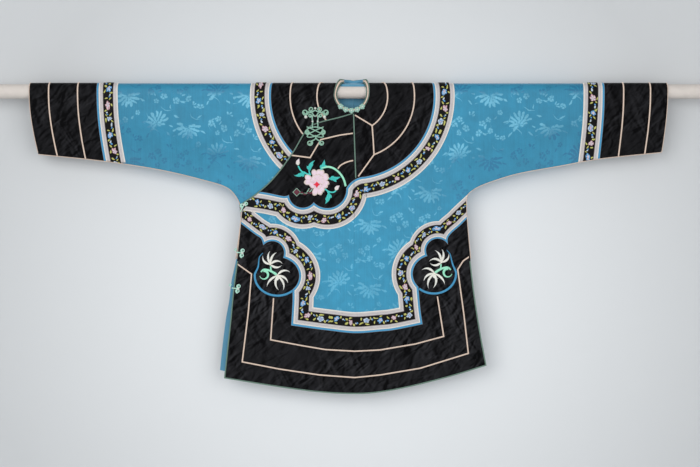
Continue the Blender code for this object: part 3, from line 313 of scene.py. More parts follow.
def arc(centre, radii, start, stop, step=LOBE_STEP):
    """Points on an ellipse's arc between two angles in degrees."""
    count = max(2, round(abs(stop - start) / step))
    result = []
    for k in range(count + 1):
        angle = math.radians(start + (stop - start) * k / count)
        result.append((centre[0] + radii[0] * math.cos(angle), centre[1] + radii[1] * math.sin(angle)))
    return result


def front(points):
    """Pattern points on the front for points given by their depth."""
    return [(x, QUARTER + depth) for x, depth in points]


def back(points):
    """Pattern points on the back for points given by their depth."""
    return [(x, -QUARTER - depth) for x, depth in points]


def mirrored(points):
    """The same line on the other panel."""
    return [(x, -s) for x, s in points]


def shifted(points, distance):
    """A line moved sideways, to the right of its way with s pointing up the page."""
    result = []
    last = len(points) - 1
    for i, (x, s) in enumerate(points):
        before = Vector(points[i]) - Vector(points[max(i - 1, 0)])
        after = Vector(points[min(i + 1, last)]) - Vector(points[i])
        if before.length == 0:
            before = after
        if after.length == 0:
            after = before
        before.normalize()
        after.normalize()
        middle = (before + after).normalized()
        reach = distance / max(CORNER_LIMIT, middle.dot(before))
        result.append((x + middle.y * reach, s - middle.x * reach))
    return result


def cross(a, b):
    """The cross products of flat vectors."""
    return a[..., 0] * b[..., 1] - a[..., 1] * b[..., 0]


def first_crossing(line, other, from_end=False):
    """Where a line first crosses another, counted from either end: both indices and the place."""
    line = np.array(line, float)
    other = np.array(other, float)
    run = (line[1:] - line[:-1])[:, None]
    cut = (other[1:] - other[:-1])[None]
    away = other[None, :-1] - line[:-1, None]
    area = cross(run, cut)
    area[np.abs(area) < 1e-9] = np.inf
    t = cross(away, cut) / area
    u = cross(away, run) / area
    hit = np.isfinite(area) & (t >= 0) & (t <= 1) & (u >= 0) & (u <= 1)
    rows = np.flatnonzero(hit.any(axis=1))
    if not len(rows):
        return None
    i = int(rows[-1] if from_end else rows[0])
    k = int(np.flatnonzero(hit[i])[0])
    return i, k, tuple(line[i] + run[i, 0] * t[i, k])


def meet(line, after):
    """Two lines cut where the first one's end crosses the second one's start."""
    found = first_crossing(line, after, from_end=True)
    if not found:
        return line, [line[-1], *after]
    i, k, point = found
    return [*line[:i + 1], point], [point, *after[k + 1:]]


def joined(lines):
    """One line from several, each cut where it crosses the next."""
    result = list(lines[0])
    for line in lines[1:]:
        cut, rest = meet(result, line)
        result = cut + rest[1:]
    return [p for i, p in enumerate(result) if i == 0 or math.dist(p, result[i - 1]) > LEAST_STEP]


def droop(x, depth):
    """Sideways drift of a sleeve's lines below the rod."""
    drift = DROOP_RIGHT if x < 0 else -DROOP_LEFT
    share = max(0.0, abs(x) - DROOP_START) / DROOP_SPAN
    return drift * share * (max(0.0, depth) / DROOP_DEPTH) ** 2


def round_sleeve(x, reach):
    """A line round a sleeve, from the back's depth over the ridge to the front's."""
    count = round(reach / LINE_STEP)
    depths = [reach * k / count for k in range(count, -1, -1)]
    line = [(x + droop(x, d), -QUARTER - d) for d in depths]
    return line + [(px, -s) for px, s in line[::-1]]


def centre_x(depth):
    """The centre seam's x at a depth."""
    return CENTRE_TOP + CENTRE_LEAN * max(0.0, depth - CENTRE_TURN) / CENTRE_RUN


def segment_distances(points, line):
    """Least distance of many points to a line, and the index of its nearest segment."""
    best = np.full(len(points), 1e9)
    nearest = np.zeros(len(points), int)
    for n, (a, b) in enumerate(zip(line, line[1:])):
        run = np.array(b, float) - a
        t = np.clip(((points - a) @ run) / (run @ run), 0, 1)
        distance = np.linalg.norm(points - a - t[:, None] * run, axis=1)
        closer = distance < best
        best[closer] = distance[closer]
        nearest[closer] = n
    return best, nearest


def eased(value):
    """A share from 0 to 1 with soft ends."""
    value = np.clip(value, 0, 1)
    return value * value * (3 - 2 * value)


def sewn_seam(underside, side):
    """The closed edge of the tube: the sleeve's underside, then the side down to its slit."""
    return [*underside, *[p for p in side[1:] if p[1] <= SLIT_DEPTH]]


SEAM_RIGHT = sewn_seam(UNDERSIDE_RIGHT, SIDE_RIGHT)
SEAM_LEFT = sewn_seam(UNDERSIDE_LEFT, SIDE_LEFT)


def seam_clearance(x, depth):
    """Distance of points inside the jacket from its closed edges, and 0 outside them."""
    places = np.stack([x, depth], axis=1)
    result = np.zeros(len(x))
    for sign, seam, underside in ((-1, SEAM_RIGHT, UNDERSIDE_RIGHT), (1, SEAM_LEFT, UNDERSIDE_LEFT)):
        here = x * sign >= 0
        distance, _ = segment_distances(places[here], seam)
        under = np.interp(x[here] * sign, [p[0] * sign for p in underside[::-1]],
                          [p[1] for p in underside[::-1]])
        outside = (depth[here] > under) & (x[here] * sign > UNDERARM_X) & (depth[here] < SLIT_DEPTH)
        side = abs(seam[-1][0])
        outside &= (x[here] * sign > side) | (depth[here] < UNDERARM_DEPTH)
        distance[outside] = 0
        result[here] = distance
    return result


def base_points(points):
    """The hung cloth's inner face in millimetres over pattern points, without its creases."""
    x, s = points[:, 0], points[:, 1]
    angle = np.clip(s, -QUARTER, QUARTER) / RIDGE_RADIUS
    depth = np.maximum(np.abs(s) - QUARTER, 0)
    hang = RIDGE_RADIUS + (HEM_HALF_GAP - RIDGE_RADIUS) * depth / HEM_DEPTH
    closing = eased(seam_clearance(x, depth) / CLOSING_WIDTH)
    gap = SEAM_HALF_GAP + (hang - SEAM_HALF_GAP) * closing
    on_ridge = np.abs(s) <= QUARTER
    y = np.where(on_ridge, -RIDGE_RADIUS * np.sin(angle), -np.sign(s) * gap)
    z = np.where(on_ridge, RIDGE_RADIUS * np.cos(angle), -depth)
    return np.stack([x, y, z], axis=1)


def base_normals(points):
    """Outward directions of the hung cloth over pattern points."""
    reach = 0.5
    along = base_points(points + (reach, 0)) - base_points(points - (reach, 0))
    round_it = base_points(points + (0, reach)) - base_points(points - (0, reach))
    normals = np.cross(round_it, along)
    return normals / np.linalg.norm(normals, axis=1)[:, None]


# Soft creases in the cloth: x, depth, length, direction in degrees from the rod, width, height.
# A height below zero is a trough. Creases of the front come first, then those of the back.
CREASES_FRONT = (
    (-700, 60, 90, 78, 9, 1.2), (-735, 100, 60, 60, 7, -1.0), (-672, 95, 110, 70, 10, 1.4),
    (-632, 60, 80, 62, 6, 1.2), (-620, 95, 95, 52, 6, -1.2), (-640, 118, 60, 48, 6, 1.0),
    (-560, 60, 150, 84, 22, 1.2), (-480, 90, 150, 80, 18, -1.2), (-400, 70, 140, 96, 20, 1.2),
    (-330, 120, 170, 60, 20, -1.4), (-285, 150, 120, 50, 12, 1.5), (-250, 190, 100, 42, 9, 1.4),
    (-200, 120, 120, 70, 14, -1.0), (650, 70, 110, 100, 9, 1.2), (612, 90, 90, 112, 7, -1.0),
    (690, 95, 80, 84, 9, 1.0), (540, 70, 150, 96, 22, 1.2), (470, 90, 140, 92, 18, -1.2),
    (390, 80, 150, 84, 20, 1.2), (320, 130, 150, 116, 18, -1.4), (270, 170, 130, 128, 11, 1.5),
    (240, 220, 110, 118, 14, 1.2), (60, 90, 70, 84, 7, 0.9), (95, 130, 80, 120, 8, -0.9),
    (-18, 150, 90, 88, 5, -1.4), (-24, 132, 70, 94, 5, 1.2), (-60, 90, 60, 20, 6, 0.8),
    (120, 60, 90, 66, 9, 0.8), (30, 190, 60, 30, 7, 0.8), (-180, 60, 70, 96, 8, 0.8),
    (0, 420, 260, 90, 26, 1.6), (-70, 470, 220, 92, 24, -1.4), (90, 450, 240, 88, 26, 1.4),
    (-240, 480, 150, 96, 9, 1.2), (-262, 560, 140, 100, 8, -1.2), (-225, 560, 110, 106, 8, 1.2),
    (-170, 560, 90, 120, 8, 1.0), (-170, 640, 120, 28, 9, 1.2), (-110, 625, 100, 22, 9, -1.1),
    (-40, 640, 130, 14, 10, 1.3), (20, 590, 90, 96, 7, 1.0), (30, 650, 110, 84, 8, 1.0),
    (90, 640, 120, -16, 9, 1.2), (150, 630, 90, -30, 8, -1.0), (215, 610, 110, -52, 9, 1.2),
    (235, 520, 130, 82, 9, 1.2), (275, 560, 110, 76, 8, -1.1), (250, 440, 100, 96, 9, 1.0),
    (-205, 505, 70, 70, 7, 0.9), (-60, 690, 90, 8, 8, 0.9), (110, 685, 90, -14, 8, 0.9),
)
CREASES_BACK = (
    (-690, 80, 110, 80, 10, 1.2), (-640, 90, 90, 64, 8, -1.0), (-520, 90, 150, 86, 22, 1.2),
    (-380, 100, 150, 78, 20, -1.2), (-280, 160, 130, 52, 14, 1.4), (660, 80, 110, 98, 10, 1.2),
    (600, 90, 90, 110, 8, -1.0), (500, 90, 150, 94, 20, 1.2), (360, 100, 150, 100, 20, -1.2),
    (270, 160, 130, 126, 14, 1.4), (-60, 120, 100, 84, 9, 1.0), (70, 110, 110, 100, 9, -1.0),
    (0, 330, 260, 90, 28, 1.6), (-90, 420, 260, 94, 26, -1.4), (110, 400, 260, 86, 26, 1.4),
    (-240, 520, 140, 98, 10, 1.2), (-180, 600, 110, 40, 9, -1.1), (-60, 630, 130, 12, 10, 1.2),
    (60, 620, 120, -10, 10, 1.1), (160, 610, 110, -36, 9, -1.0), (245, 530, 140, 80, 10, 1.2),
)
CREASE_BEND = 0.6
CREASE_FADE = 16.0
RIDGE_FADE = 22.0


def relief(points):
    """Height of the creases over the hung cloth at pattern points."""
    total = np.zeros(len(points))
    for sign, table in ((1, CREASES_FRONT), (-1, CREASES_BACK)):
        for x, depth, length, direction, width, height in table:
            turn = math.radians(direction)
            dx = points[:, 0] - x
            ds = points[:, 1] * sign - QUARTER - depth
            along = (dx * math.cos(turn) + ds * math.sin(turn)) / (length / 2)
            across = (ds * math.cos(turn) - dx * math.sin(turn)) / width
            near = np.abs(along) < 1
            bend = across[near] - CREASE_BEND * along[near] ** 2
            total[near] += height * np.exp(-bend ** 2) * (1 - along[near] ** 2) ** 2
    depth = np.maximum(np.abs(points[:, 1]) - QUARTER, 0)
    fade = np.clip(seam_clearance(points[:, 0], depth) / CREASE_FADE, 0, 1)
    return total * fade * np.clip(depth / RIDGE_FADE, 0, 1)


def hang(points, heights):
    """Places in metres of pattern points at their heights over the cloth's inner face."""
    points = np.asarray(points, float).reshape(-1, 2)
    lift = relief(points) + heights
    return (base_points(points) + base_normals(points) * lift[:, None]) * MM


def counter_clockwise(polygon):
    """The polygon turned to run counter-clockwise."""
    area = sum(a[0] * b[1] - b[0] * a[1] for a, b in zip(polygon, polygon[1:] + polygon[:1]))
    return polygon if area > 0 else polygon[::-1]


def lattice(low, high, step):
    """Points of an even lattice in a box, closer together where the cloth rounds the rod."""
    rows = []
    s = low[1]
    while s < high[1]:
        rows.append(s)
        s += RIDGE_STEP if abs(s) < RIDGE_REACH else step
    result = []
    for n, s in enumerate(rows):
        start = math.floor(low[0] / step) * step + (step / 2 if n % 2 else 0)
        count = int((high[0] - start) / step) + 1
        result.extend((start + k * step, s) for k in range(count))
    return result


def filled(ring, step):
    """A closed line with points added where a stretch is longer than a step."""
    result = []
    for (x, s), (end_x, end_s) in zip(ring, ring[1:] + ring[:1]):
        count = max(1, math.ceil(math.dist((x, s), (end_x, end_s)) / step))
        result += [(x + (end_x - x) * k / count, s + (end_s - s) * k / count) for k in range(count)]
    return result


def cut_out(shapes, keep, step, guides=()):
    """Pattern points and triangles of what a rule keeps of some named shapes.

    The rule is asked with the names of the shapes that cover a triangle.
    """
    points = []
    faces = []
    owners = []
    for name, polygons in shapes.items():
        for polygon in polygons:
            ring = counter_clockwise(filled(list(polygon), step / 2))
            faces.append(list(range(len(points), len(points) + len(ring))))
            points.extend(ring)
            owners.append(name)
    main = next(iter(shapes.values()))
    low = [min(p[n] for polygon in main for p in polygon) for n in (0, 1)]
    high = [max(p[n] for polygon in main for p in polygon) for n in (0, 1)]
    low = [max(low[0], CUFF_RIGHT), max(low[1], -QUARTER - HEM_DEPTH)]
    high = [min(high[0], CUFF_LEFT), min(high[1], QUARTER + HEM_DEPTH)]
    edges = []
    for line in guides:
        for a, b in zip(line, line[1:]):
            edges.append((len(points), len(points) + 1))
            points.extend([tuple(a), tuple(b)])
    points.extend(lattice(low, high, step))
    result = delaunay_2d_cdt([Vector(p) for p in points], edges, faces, 0, CUT_PRECISION, True)
    places, triangles, origins = result[0], result[2], result[5]
    kept = []
    for triangle, origin in zip(triangles, origins):
        names = {owners[n] for n in origin}
        if names and keep(names):
            kept.append(list(triangle))
    used = sorted({n for triangle in kept for n in triangle})
    index = {n: k for k, n in enumerate(used)}
    cut = np.array([tuple(places[n]) for n in used])
    return cut, [[index[n] for n in triangle] for triangle in kept]


def rim(triangles):
    """The indices on the edge of a flat mesh."""
    edges = {}
    for a, b, c in triangles:
        for edge in ((a, b), (b, c), (c, a)):
            key = (min(edge), max(edge))
            edges[key] = edges.get(key, 0) + 1
    return sorted({n for edge, count in edges.items() if count == 1 for n in edge})


# The finishes by their short names, made once
MATERIALS = {}


def new_mesh():
    """An empty mesh that carries pattern coordinates."""
    mesh = bmesh.new()
    mesh.loops.layers.uv.new("pattern")
    return mesh


def add_face(mesh, verts, places, material=0):
    """A face with the pattern coordinates of its corners."""
    face = mesh.faces.new(verts)
    face.material_index = material
    uv = mesh.loops.layers.uv["pattern"]
    for loop, place in zip(face.loops, places):
        loop[uv].uv = place


def dress(piece, slot, node):
    """Attaches a piece to the root body and hides the solid that it stands for."""
    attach(piece, "root")
    if node:
        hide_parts(node)


def add_piece(name, mesh, materials, slot, node=None):
    """A finished piece of the jacket from a bmesh."""
    data = bpy.data.meshes.new(name)
    mesh.to_mesh(data)
    mesh.free()
    for key in materials:
        data.materials.append(MATERIALS[key])
    data.shade_smooth()
    piece = bpy.data.objects.new(name, data)
    bpy.context.scene.collection.objects.link(piece)
    dress(piece, slot, node)
    return piece


def add_solid(name, mesh, *finish):
    """A finished piece of closed forms, all their faces turned outward."""
    bmesh.ops.recalc_face_normals(mesh, faces=mesh.faces)
    return add_piece(name, mesh, *finish)


def apply_modifier(piece, kind, **settings):
    """Adds a modifier, sets it up and applies it."""
    bpy.ops.object.select_all(action="DESELECT")
    bpy.context.view_layer.objects.active = piece
    piece.select_set(True)
    modifier = piece.modifiers.new(kind.title(), kind)
    for key, value in settings.items():
        setattr(modifier, key, value)
    bpy.ops.object.modifier_apply(modifier=modifier.name)


# The pieces that are sewn on every piece of cloth
CARRIED = {}


def declare_sheet(piece, flat, area=None, pieces=()):
    """Starts the list of pieces sewn on a piece of cloth. Its flat size and area, in millimetres, are worked
    out but not kept.
    """
    width, length = flat
    if area is not None and area < NARROW_SHARE * width * length:
        width, length, area = area / max(width, length), max(width, length), None
    elif area is not None:
        area = min(area, width * length) * MM * MM
    width * MM
    length * MM
    CARRIED[piece.name] = list(pieces)


def carry(cloth, piece):
    """Says that a piece is sewn on a cloth."""
    CARRIED[f"{cloth}_cloth"].append(piece)


def sew_cloth(node, materials, slot, layer, step, shapes, keep, guides=(), sink=None):
    """A flat piece of cloth cut from named shapes and hung at its layer's height."""
    cut, triangles = cut_out(shapes, keep, step, guides)
    heights = np.full(len(cut), layer[1])
    heights[rim(triangles)] -= EDGE_DROP * (layer[1] - layer[0])
    if sink:
        heights -= sink(cut)
    mesh = new_mesh()
    verts = [mesh.verts.new(p) for p in hang(cut, heights)]
    for triangle in triangles:
        corners = triangle[::-1]
        add_face(mesh, [verts[n] for n in corners], [tuple(cut[n] * MM) for n in corners])
    piece = add_piece(f"{node}_cloth", mesh, materials, slot, node)
    apply_modifier(piece, "SOLIDIFY", thickness=(layer[1] - layer[0]) * MM, offset=-1,
                   material_offset=len(materials) - 1, material_offset_rim=0)
    bpy.ops.object.shade_smooth_by_angle(angle=CLOTH_SMOOTHING)
    corners = cut[np.array(triangles)]
    area = np.abs(cross(corners[:, 1] - corners[:, 0], corners[:, 2] - corners[:, 0])).sum() / 2
    declare_sheet(piece, (cut.max(0) - cut.min(0)).tolist(), float(area))


def corners_of(points):
    """The indices where a line turns sharply."""
    found = []
    for i in range(1, len(points) - 1):
        before = Vector(points[i]) - Vector(points[i - 1])
        after = Vector(points[i + 1]) - Vector(points[i])
        if before.length and after.length and before.angle(after) > CORNER_TURN:
            found.append(i)
    return found


def stretches(legs, distance, starts, stops):
    """The lines beside some legs at a distance, cut at each other, at the corners and the ends."""
    lines = []
    for points, spread in legs:
        moved = shifted(points, distance * spread)
        breaks = [0, *corners_of(points), len(points) - 1]
        parts = [moved[a:b + 1] for a, b in zip(breaks, breaks[1:])]
        if lines:
            lines[-1], parts[0] = meet(lines[-1], parts[0])
        lines.extend(parts)
    for cutter in starts:
        for n in range(len(lines) - 1, -1, -1):
            found = first_crossing(lines[n], cutter, from_end=True)
            if found:
                i, _, point = found
                lines[n] = [point, *lines[n][i + 1:]]
                for before in range(n):
                    lines[before] = [point, point]
                break
    for cutter in stops:
        for n in range(len(lines)):
            found = first_crossing(lines[n], cutter)
            if found:
                i, _, point = found
                lines[n] = [*lines[n][:i + 1], point]
                for after in range(n + 1, len(lines)):
                    lines[after] = [point, point]
                break
    return lines


def length_of(line):
    """A line's length."""
    return sum(math.dist(a, b) for a, b in zip(line, line[1:]))


def sums_along(line):
    """The distance along a line at each of its points."""
    return np.concatenate([[0], np.cumsum(np.linalg.norm(np.diff(line, axis=0), axis=1))])


def spaced(line, count):
    """A line's points at even distances along it."""
    line = np.array(line, float)
    sums = sums_along(line)
    if sums[-1] == 0:
        return np.repeat(line[:1], count + 1, axis=0)
    at = np.linspace(0, sums[-1], count + 1)
    return np.stack([np.interp(at, sums, line[:, n]) for n in (0, 1)], axis=1)


def along_line(points, line):
    """How far along a line, or past its ends, the place nearest to each point lies."""
    line = np.array(line, float)
    steps = np.diff(line, axis=0)
    lengths = np.maximum(np.linalg.norm(steps, axis=1), 1e-9)
    nearest = segment_distances(points, line)[1]
    reach = ((points - line[nearest]) * steps[nearest]).sum(axis=1) / lengths[nearest]
    low = np.where(nearest == 0, -np.inf, 0)
    high = np.where(nearest == len(steps) - 1, np.inf, lengths[nearest])
    return np.concatenate([[0], np.cumsum(lengths)])[nearest] + np.clip(reach, low, high)


def stations(legs, distances, starts=(), stops=()):
    """Points of each line beside the legs, matched from line to line, and distances along."""
    rows = [stretches(legs, distance, starts, stops) for distance in distances]
    middle = rows[len(rows) // 2]
    whole = stretches(legs, distances[len(rows) // 2], (), ())
    table = []
    along = []
    for lines in rows:
        done = 0.0
        for n, (line, measured, full) in enumerate(zip(lines, middle, whole)):
            part = spaced(line, max(2, math.ceil(length_of(measured) / TRIM_STEP)))
            table.append(part)
            along.append(done + along_line(part, full))
            done += length_of(full)
    count = sum(len(part) for part in table) // len(rows)
    return np.concatenate(table).reshape(-1, count, 2), np.concatenate(along).reshape(-1, count)


def lay_strip(mesh, table, along, section, bottom, material=0):
    """Adds a strip between matched lines: its section's heights over them, and a flat foot."""
    count = table.shape[1]
    along = np.broadcast_to(along, table.shape[:2])
    levels = [(n, height) for n, (_, height) in enumerate(section)]
    levels += [(len(section) - 1, bottom), (0, bottom)]
    total = len(levels)
    rings = []
    for n, height in levels:
        rings.append([mesh.verts.new(p) for p in hang(table[n], np.full(count, float(height)))])

    def add(corners):
        rows = [(levels[n][0], k) for n, k in corners]
        places = [(along[row, k] * MM, section[row][0] * MM) for row, k in rows]
        add_face(mesh, [rings[n][k] for n, k in corners], places, material)

    for k in range(count - 1):
        for n in range(total):
            m = (n + 1) % total
            add(((n, k), (n, k + 1), (m, k + 1), (m, k)))
    for k in (0, count - 1):
        add([(n, k) for n in range(total)])


def sweep(mesh, line, section, bottom, widths=None, flip=False, material=0):
    """Adds a strip along a middle line, with a share of its width at every point."""
    middle = np.array(line, float)
    beside = np.array(shifted(line, 1.0), float) - middle
    shares = np.ones(len(line)) if widths is None else np.array(widths, float)
    table = np.array([middle + beside * (distance * shares)[:, None] for distance, _ in section])
    if flip:
        table[..., 1] *= -1
    lay_strip(mesh, table, sums_along(middle), section, bottom, material)


def finish_strip(node, mesh, silk, slot):
    """The finished piece of a strip's mesh."""
    bmesh.ops.remove_doubles(mesh, verts=mesh.verts, dist=MERGE_REACH)
    bmesh.ops.dissolve_degenerate(mesh, dist=MERGE_REACH, edges=mesh.edges)
    return add_solid(f"{node}_sewn", mesh, (silk,), slot, node)


def sew_strip(node, silk, runs, section, bottom, starts=(), stops=(), flip=False, cloth=False, on=None):
    """A tape, ribbon or piping sewn along runs of legs; where it is cloth, its list of sewn pieces is
    started.
    """
    mesh = new_mesh()
    length = 0.0
    for legs in runs:
        table, along = stations(legs, [distance for distance, _ in section], starts, stops)
        if flip:
            table[..., 1] *= -1
        lay_strip(mesh, table, along, section, bottom)
        length += length_of(table[len(table) // 2])
    piece = finish_strip(node, mesh, silk, silk)
    if cloth:
        declare_sheet(piece, (section[-1][0] - section[0][0], length))
    if on:
        carry(on, piece)


def flat_section(near, far, layer, lines=5, crown=0.0):
    """A strip's section: soft edges and a slightly crowned top."""
    low, high = layer
    edge = min(SOFT_EDGE, (far - near) / 5)
    foot = low + SOFT_FOOT * (high - low)
    inset = SOFT_INSET * edge
    shoulder = high - SOFT_DROP * (high - low)
    section = [(near, foot), (near + inset, shoulder)]
    for k in range(lines):
        share = k / (lines - 1)
        rise = crown * (1 - (2 * share - 1) ** 2)
        section.append((near + edge + (far - near - 2 * edge) * share, high + rise))
    return [*section, (far - inset, shoulder), (far, foot)]


def round_section(width, low, rise=0.8):
    """A cord's or binding's section that stands on a height: most of a circle."""
    section = []
    for k in range(ROUND_SIDES):
        angle = math.radians(ROUND_START - ROUND_SWEEP * k / (ROUND_SIDES - 1))
        height = low + width / 2 * rise * (ROUND_MIDDLE + math.sin(angle))
        section.append((width / 2 * math.cos(angle), height))
    return section


# Each panel: how its points are placed, its hem, and its side edges on the right and left
PANELS = {
    "front": (front, HEM, {"right": SIDE_RIGHT, "left": SIDE_LEFT}),
    "back": (back, BACK_HEM, {"right": BACK_SIDE_RIGHT, "left": BACK_SIDE_LEFT}),
}


def edge_line(hand, side):
    """A panel's edge on one hand: the sleeve's underside, then the side down to the hem."""
    place, _, edges = PANELS[side]
    underside = UNDERSIDE_RIGHT if hand == "right" else UNDERSIDE_LEFT
    return place(smooth(underside[1:]) + smooth(edges[hand])[1:])


def outline():
    """The whole jacket's edge on the pattern, front and back in one round."""
    ring = edge_line("right", "front") + front(smooth(HEM))[1:-1]
    ring += edge_line("left", "front")[::-1]
    ring += mirrored(round_sleeve(CUFF_LEFT, CUFF_LEFT_DEPTH))[1:-1]
    ring += edge_line("left", "back") + back(smooth(BACK_HEM)[::-1])[1:-1]
    ring += edge_line("right", "back")[::-1]
    ring += round_sleeve(CUFF_RIGHT, DROOP_DEPTH)[1:-1]
    return ring


def panel_outline(side):
    """The body below the underarms on one side."""
    place, hem, edges = PANELS[side]
    return place(smooth(edges["right"]) + smooth(hem)[1:-1] + smooth(edges["left"])[::-1])


def neck_point(angle, spread=0.0):
    """A point of the neck hole's edge, moved outward by a distance."""
    fuller = 1 + NECK_FULLNESS * math.sin(angle)
    x = NECK_X + NECK_HALF_WIDTH * fuller * math.cos(angle)
    x += NECK_LEAN * float(eased(NECK_LEAN_START - math.sin(angle))) * (1 - math.cos(angle)) / 2
    s = NECK_S + NECK_HALF_LENGTH * math.sin(angle)
    ahead = Vector((-NECK_HALF_WIDTH * math.sin(angle), NECK_HALF_LENGTH * math.cos(angle))).normalized()
    return (x + ahead.y * spread, s - ahead.x * spread)


def neck_hole():
    """The neck hole's edge."""
    return [neck_point(2 * math.pi * k / NECK_STATIONS) for k in range(NECK_STATIONS)]


def seam_side(line, outward):
    """A polygon on one side of a line that runs from back to front round the jacket."""
    return [*line, (outward * FAR, FAR), (outward * FAR, -FAR)]


def lapel_edge(distance):
    """The lapel edge on the pattern, moved down by a distance."""
    return shifted(front(smooth(LAPEL_EDGE)), distance)


def overlap_zone(distance):
    """All of the front that the overlap covers."""
    down = [(centre_x(d), d) for d in (BELOW, CENTRE_TURN)]
    return [*lapel_edge(distance), *front(OVERLAP_SIDE), *front(down)]


def lapel_shares():
    """Distance along the lapel edge at its points, as shares of its length."""
    sums = sums_along(lapel_edge(0))
    return sums / sums[-1]


def underlap():
    """The strip of the right body that runs on under the overlap."""
    count = int((lapel_shares() <= UNDERLAP_END).sum())
    return [*lapel_edge(-HALF_SEAM)[1:count], *lapel_edge(UNDERLAP_WIDTH)[1:count][::-1]]


def underlap_sink(points):
    """How far the right body sinks to pass under the overlap."""
    line = np.array(lapel_edge(0))
    distance, nearest = segment_distances(points, line)
    start = line[nearest]
    run = line[nearest + 1] - start
    away = points - start
    below = run[:, 0] * away[:, 1] - run[:, 1] * away[:, 0] < 0
    slope = np.where(below, 1.0, np.clip(1 - distance / UNDERLAP_SLOPE, 0, 1))
    share = lapel_shares()[nearest]
    fade = np.clip((UNDERLAP_FADE - share) / (UNDERLAP_FADE - UNDERLAP_END), 0, 1)
    return np.where(points[:, 1] > QUARTER + UNDERLAP_TOP, UNDERLAP_SINK * slope * fade, 0)


def plain(*lines):
    """Legs that trims follow at their full distance."""
    return [(line, 1.0) for line in lines]


def yoke_arc(radius, start, stop):
    """A round line about the yoke's centre, between two angles."""
    return arc((YOKE[0], QUARTER + YOKE[1]), (radius, radius), start, stop, ARC_STEP)


def lapel_legs():
    """The satin edge of the lapel, from the yoke's foot to the underarm."""
    lobes = [arc((x, QUARTER + depth), (radius, radius), start, stop)
             for x, depth, radius, start, stop in (LAPEL_HOLLOW, *LAPEL_LOBES)]
    return plain(*lobes, front(smooth(LAPEL_TAIL)))


def cloud(table, spread=1.0):
    """One lobe of a cloud medallion's edge."""
    x, depth, half_width, half_height, start, stop = table
    return (arc((x, QUARTER + depth), (half_width, half_height), start, stop), spread)


def border_legs():
    """The border's inner edge on the front, from the right side to the left."""
    middle = [front(smooth(line)) for line in (BORDER_RIGHT_FALL, BORDER_BOTTOM, BORDER_LEFT_FALL)]
    return [
        (front(smooth(BORDER_RIGHT_UPPER)), CLOUD_TOP_SPREAD),
        cloud(CLOUD_RIGHT_TOP, CLOUD_TOP_SPREAD),
        cloud(CLOUD_RIGHT_LOW),
        *plain(*middle),
        cloud(CLOUD_LEFT_LOW),
        cloud(CLOUD_LEFT_TOP, CLOUD_TOP_SPREAD),
        (front(smooth(BORDER_LEFT_UPPER)), CLOUD_TOP_SPREAD),
    ]


def edge_of(legs, distance=0.0):
    """One line beside some legs at a distance."""
    return joined([shifted(points, distance * spread) for points, spread in legs])


def left_yoke_legs(lobes=1):
    """The satin edge of the yoke's left half, down to the centre line and past it."""
    return [*plain(yoke_arc(YOKE[2], *YOKE_LEFT)), *lapel_legs()[:lobes]]


def whole_lapel_legs():
    """The satin edge of the lapel piece, from the centre line to the underarm."""
    return [*plain(yoke_arc(YOKE[2], *YOKE_LAPEL)), *lapel_legs()]


def centre_front(margin):
    """The centre line of the front, moved aside."""
    return [(centre_x(d) + margin, QUARTER + d) for d in (-QUARTER, CENTRE_TURN, BELOW)]


def centre_back(margin):
    """The centre line of the back, moved aside."""
    return [(CENTRE_TOP + margin, -FAR), (CENTRE_TOP + margin, 0)]


def zones():
    """The pattern zones that the damask is cut from."""
    seam = [(CENTRE_TOP, -FAR), (CENTRE_TOP, QUARTER + CENTRE_TURN),
            (centre_x(BELOW), QUARTER + BELOW), (centre_x(BELOW), FAR)]
    result = {
        "outline": [outline()],
        "neck": [neck_hole()],
        "overlap": [overlap_zone(HALF_SEAM)],
        "overlap_wide": [overlap_zone(-HALF_SEAM)],
        "underlap": [underlap()],
    }
    for hand, outward, x in (("right", -1, SLEEVE_SEAM_RIGHT), ("left", 1, SLEEVE_SEAM_LEFT)):
        sleeve = [(x, -FAR), *round_sleeve(x, SEAM_REACH), (x, FAR)]
        gap = HALF_SEAM * outward
        result[f"{hand}_sleeve"] = [seam_side(shifted(sleeve, gap), outward)]
        result[f"{hand}_sleeve_wide"] = [seam_side(shifted(sleeve, -gap), outward)]
        result[f"{hand}_half"] = [seam_side(shifted(seam, gap), outward)]
    return result


ZONES = zones()


def cut_by(must, but=(), **own):
    """A piece's shapes, own or among the zones, and its rule: inside all of some, outside the rest."""
    shapes = {name: [own[name]] if name in own else ZONES[name] for name in (*must, *but)}
    return shapes, lambda names: set(must) <= names and not set(but) & names


def trim_runs(margin):
    """Each satin edge with trims: its name, legs, the lines that cut its ends and its panel.

    The margin is what the trims leave free beside the bound edges.
    """
    lapel_outer = edge_of(whole_lapel_legs(), TAPE[1] + PIECE_GAP)
    yoke_right = plain(yoke_arc(YOKE[2], *YOKE_RIGHT))
    cuff_right = plain(round_sleeve(CUFF_SATIN_RIGHT, CUFF_REACH))
    cuff_left = plain(round_sleeve(CUFF_SATIN_LEFT, CUFF_REACH)[::-1])
    right, left = [edge_line(hand, "front") for hand in ("right", "left")]
    back_right, back_left = [edge_line(hand, "back") for hand in ("right", "left")]
    return (
        ("yoke", "right", yoke_right, [lapel_edge(-margin)], [centre_back(-HALF_SEAM)], False),
        ("yoke", "left", left_yoke_legs(2), [centre_back(HALF_SEAM)], [centre_front(HALF_SEAM)], False),
        ("lapel", "", left_yoke_legs(4), [centre_front(-HALF_SEAM)], [lapel_edge(margin), right], False),
        ("border", "front", border_legs(), [right, lapel_outer], [left], False),
        ("border", "back", border_legs(), [mirrored(back_right)], [mirrored(back_left)], True),
        ("cuff", "right", cuff_right, [back_right], [right], False),
        ("cuff", "left", cuff_left, [left], [back_left], False),
    )


def arithmetic(operation, swapped=False):
    """The Math node that a sign between two values stands for."""
    def apply(self, other):
        pair = (other, self) if swapped else (self, other)
        return self.graph.math(operation, *pair)
    return apply


